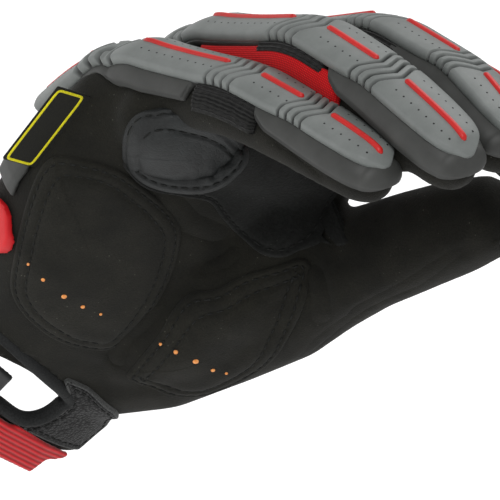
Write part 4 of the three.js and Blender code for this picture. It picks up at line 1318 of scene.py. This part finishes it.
band("window_binding", lambda u, v: drape("window", u, v), window_loop, -0.3, 3.2, 1.9, 2.0, binding_tape,
     "binding_tape", "wrist_binding")
PIPING_CORNERS = 160
patch_loop = on_line(np.array(LOOP_PATCH, float), np.arange(PIPING_CORNERS) / PIPING_CORNERS)
band("patch_piping", lambda u, v: drape("wrist", u, v), patch_loop, -0.3, 0.7, 1.3, 0.6, piping_cord,
     "loop_fabric", columns=PIPING_CORNERS, rows=6)


# %% Stiff trims from the solids
TRIM_VOXEL_MM = 0.45
TRIM_ROUNDS = 4


def softened(name, node, finish, slot):
    """A solid's own shape, rebuilt from small cubes and smoothed."""
    add_piece(name, rebuilt(solid_of(node), TRIM_VOXEL_MM, TRIM_ROUNDS), finish, slot, node)


softened("red_cuff_elastic", "cuff_elastic", elastic_red, "elastic_rib")
softened("strap_end", "strap_tab", strap_rubber, "strap_rubber")
softened("red_wrist_tab", "wrist_tab", tab_rubber, "tab_rubber")
softened("outside_panel", "back_side_panel", base_rubber, "base_rubber")

# %% [markdown]
# A folded woven label is sewn into the seam on the little-finger side. It is left plain: black cloth with
# a thin raised edge of yellow thread on both faces. A bevel rounds the cloth's own edges.

# %% The label
LABEL_MIDDLE = (-42.4, -14.5, 65)
LABEL_HALF = (10.5, 13)
LABEL_THICK = 0.9
LABEL_SHOWN = 9.6  # the rest of the label's width is held in the seam
LABEL_BEVEL = 0.3
BORDER_INSET = (1.4, 1.6)
BORDER_CORNERS = 160


def label_seat(side):
    """The face of the label on one side, as a seat for a band."""
    def seat(u, v):
        on_face = np.stack([u, np.full(len(u), side * LABEL_THICK / 2), v], axis=-1)
        return LABEL_MIDDLE + on_face, np.tile([0, side, 0], (len(u), 1))

    return seat


label_bm = bmesh.new()
label_size = Matrix.Diagonal((2 * LABEL_HALF[0] * MM, LABEL_THICK * MM, 2 * LABEL_HALF[1] * MM, 1))
bmesh.ops.create_cube(label_bm, size=1, matrix=Matrix.Translation(stored(LABEL_MIDDLE)) @ label_size)
bmesh.ops.bevel(label_bm, geom=label_bm.edges[:], offset=LABEL_BEVEL * MM, segments=2, affect="EDGES")
add_piece("side_label_cloth", label_bm, woven_label, "label_fabric", "side_label", smooth=False)
border = lozenge(LABEL_SHOWN - BORDER_INSET[0], 2 * LABEL_HALF[1] - BORDER_INSET[1], 14, 0,
                 count=BORDER_CORNERS)
border = border - (LABEL_HALF[0] - LABEL_SHOWN / 2, 0)
for side, word in ((-1, "palm"), (1, "back")):
    band(f"label_edge_{word}", label_seat(side), border, -0.4, 0.4, 0.22, 0.1, thread_yellow,
         "label_fabric", columns=BORDER_CORNERS, rows=4)

# %% [markdown]
# ## Studio
# The camera stands where the photographer stood, with a long lens. The glove hangs in the air over a
# pale floor, with a large soft key light, a weaker fill beside the camera and a third light behind it.

# %% Floor and lights
FLOOR_Z = -0.16
floor_bm = bmesh.new()
bmesh.ops.create_grid(floor_bm, x_segments=1, y_segments=1, size=6)
floor = shown("floor", floor_bm)
floor.location.z = FLOOR_Z
paper = new_finish("white_paper", **{"Roughness": 0.9, "Base Color": linear("#f6f6f6"),
                                     "Emission Color": linear("#ffffff"), "Emission Strength": 0.35})[0]
floor.data.materials.append(paper)
floor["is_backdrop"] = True


def area_light(name, location, aim, size, watts):
    light = bpy.data.lights.new(name, "AREA")
    light.shape = "SQUARE"
    light.size = size
    light.energy = watts
    lamp = bpy.data.objects.new(name, light)
    lamp.location = location
    lamp.rotation_euler = (Vector(aim) - Vector(location)).to_track_quat("-Z", "Y").to_euler()
    bpy.context.scene.collection.objects.link(lamp)
    lamp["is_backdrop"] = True


AIM = (0, -0.03, 0.07)
area_light("key", (-1.1, -0.5, 1.3), AIM, 0.9, 13)
area_light("fill", (0.6, -1.5, 0.8), AIM, 1.2, 2.5)
area_light("rim", (0.4, 0.9, 1.1), AIM, 0.9, 7)

# %% The pale room and the photographer's camera
CAMERA_AT = (-0.67483, -0.70373, 0.55696)
CAMERA_RIGHT = (0.7393, -0.3584, 0.5701)
CAMERA_UP = (-0.2028, 0.6889, 0.696)
CAMERA_BACK = (-0.6422, -0.6301, 0.4366)
world = bpy.data.worlds.new("pale_room")
bpy.context.scene.world = world
world.use_nodes = True
background = world.node_tree.nodes["Background"]
background.inputs["Color"].default_value = linear("#ffffff")
background.inputs["Strength"].default_value = 0.45

camera = bpy.data.cameras.new("camera")
camera.sensor_width = 36
camera.lens = 288.89
camera.shift_x = -0.0038
camera.shift_y = -0.0075
camera.clip_start = 0.05
camera.clip_end = 20
eye = bpy.data.objects.new("camera", camera)
turned = Matrix((CAMERA_RIGHT, CAMERA_UP, CAMERA_BACK)).transposed().to_4x4()
eye.matrix_world = Matrix.Translation(CAMERA_AT) @ turned
bpy.context.scene.collection.objects.link(eye)
bpy.context.scene.camera = eye
bpy.context.scene.view_settings.view_transform = "Standard"

# %% Print the visual box and finish
low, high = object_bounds()
print("visual box, in metres:", [round(value, 4) for value in (*low, *high)])
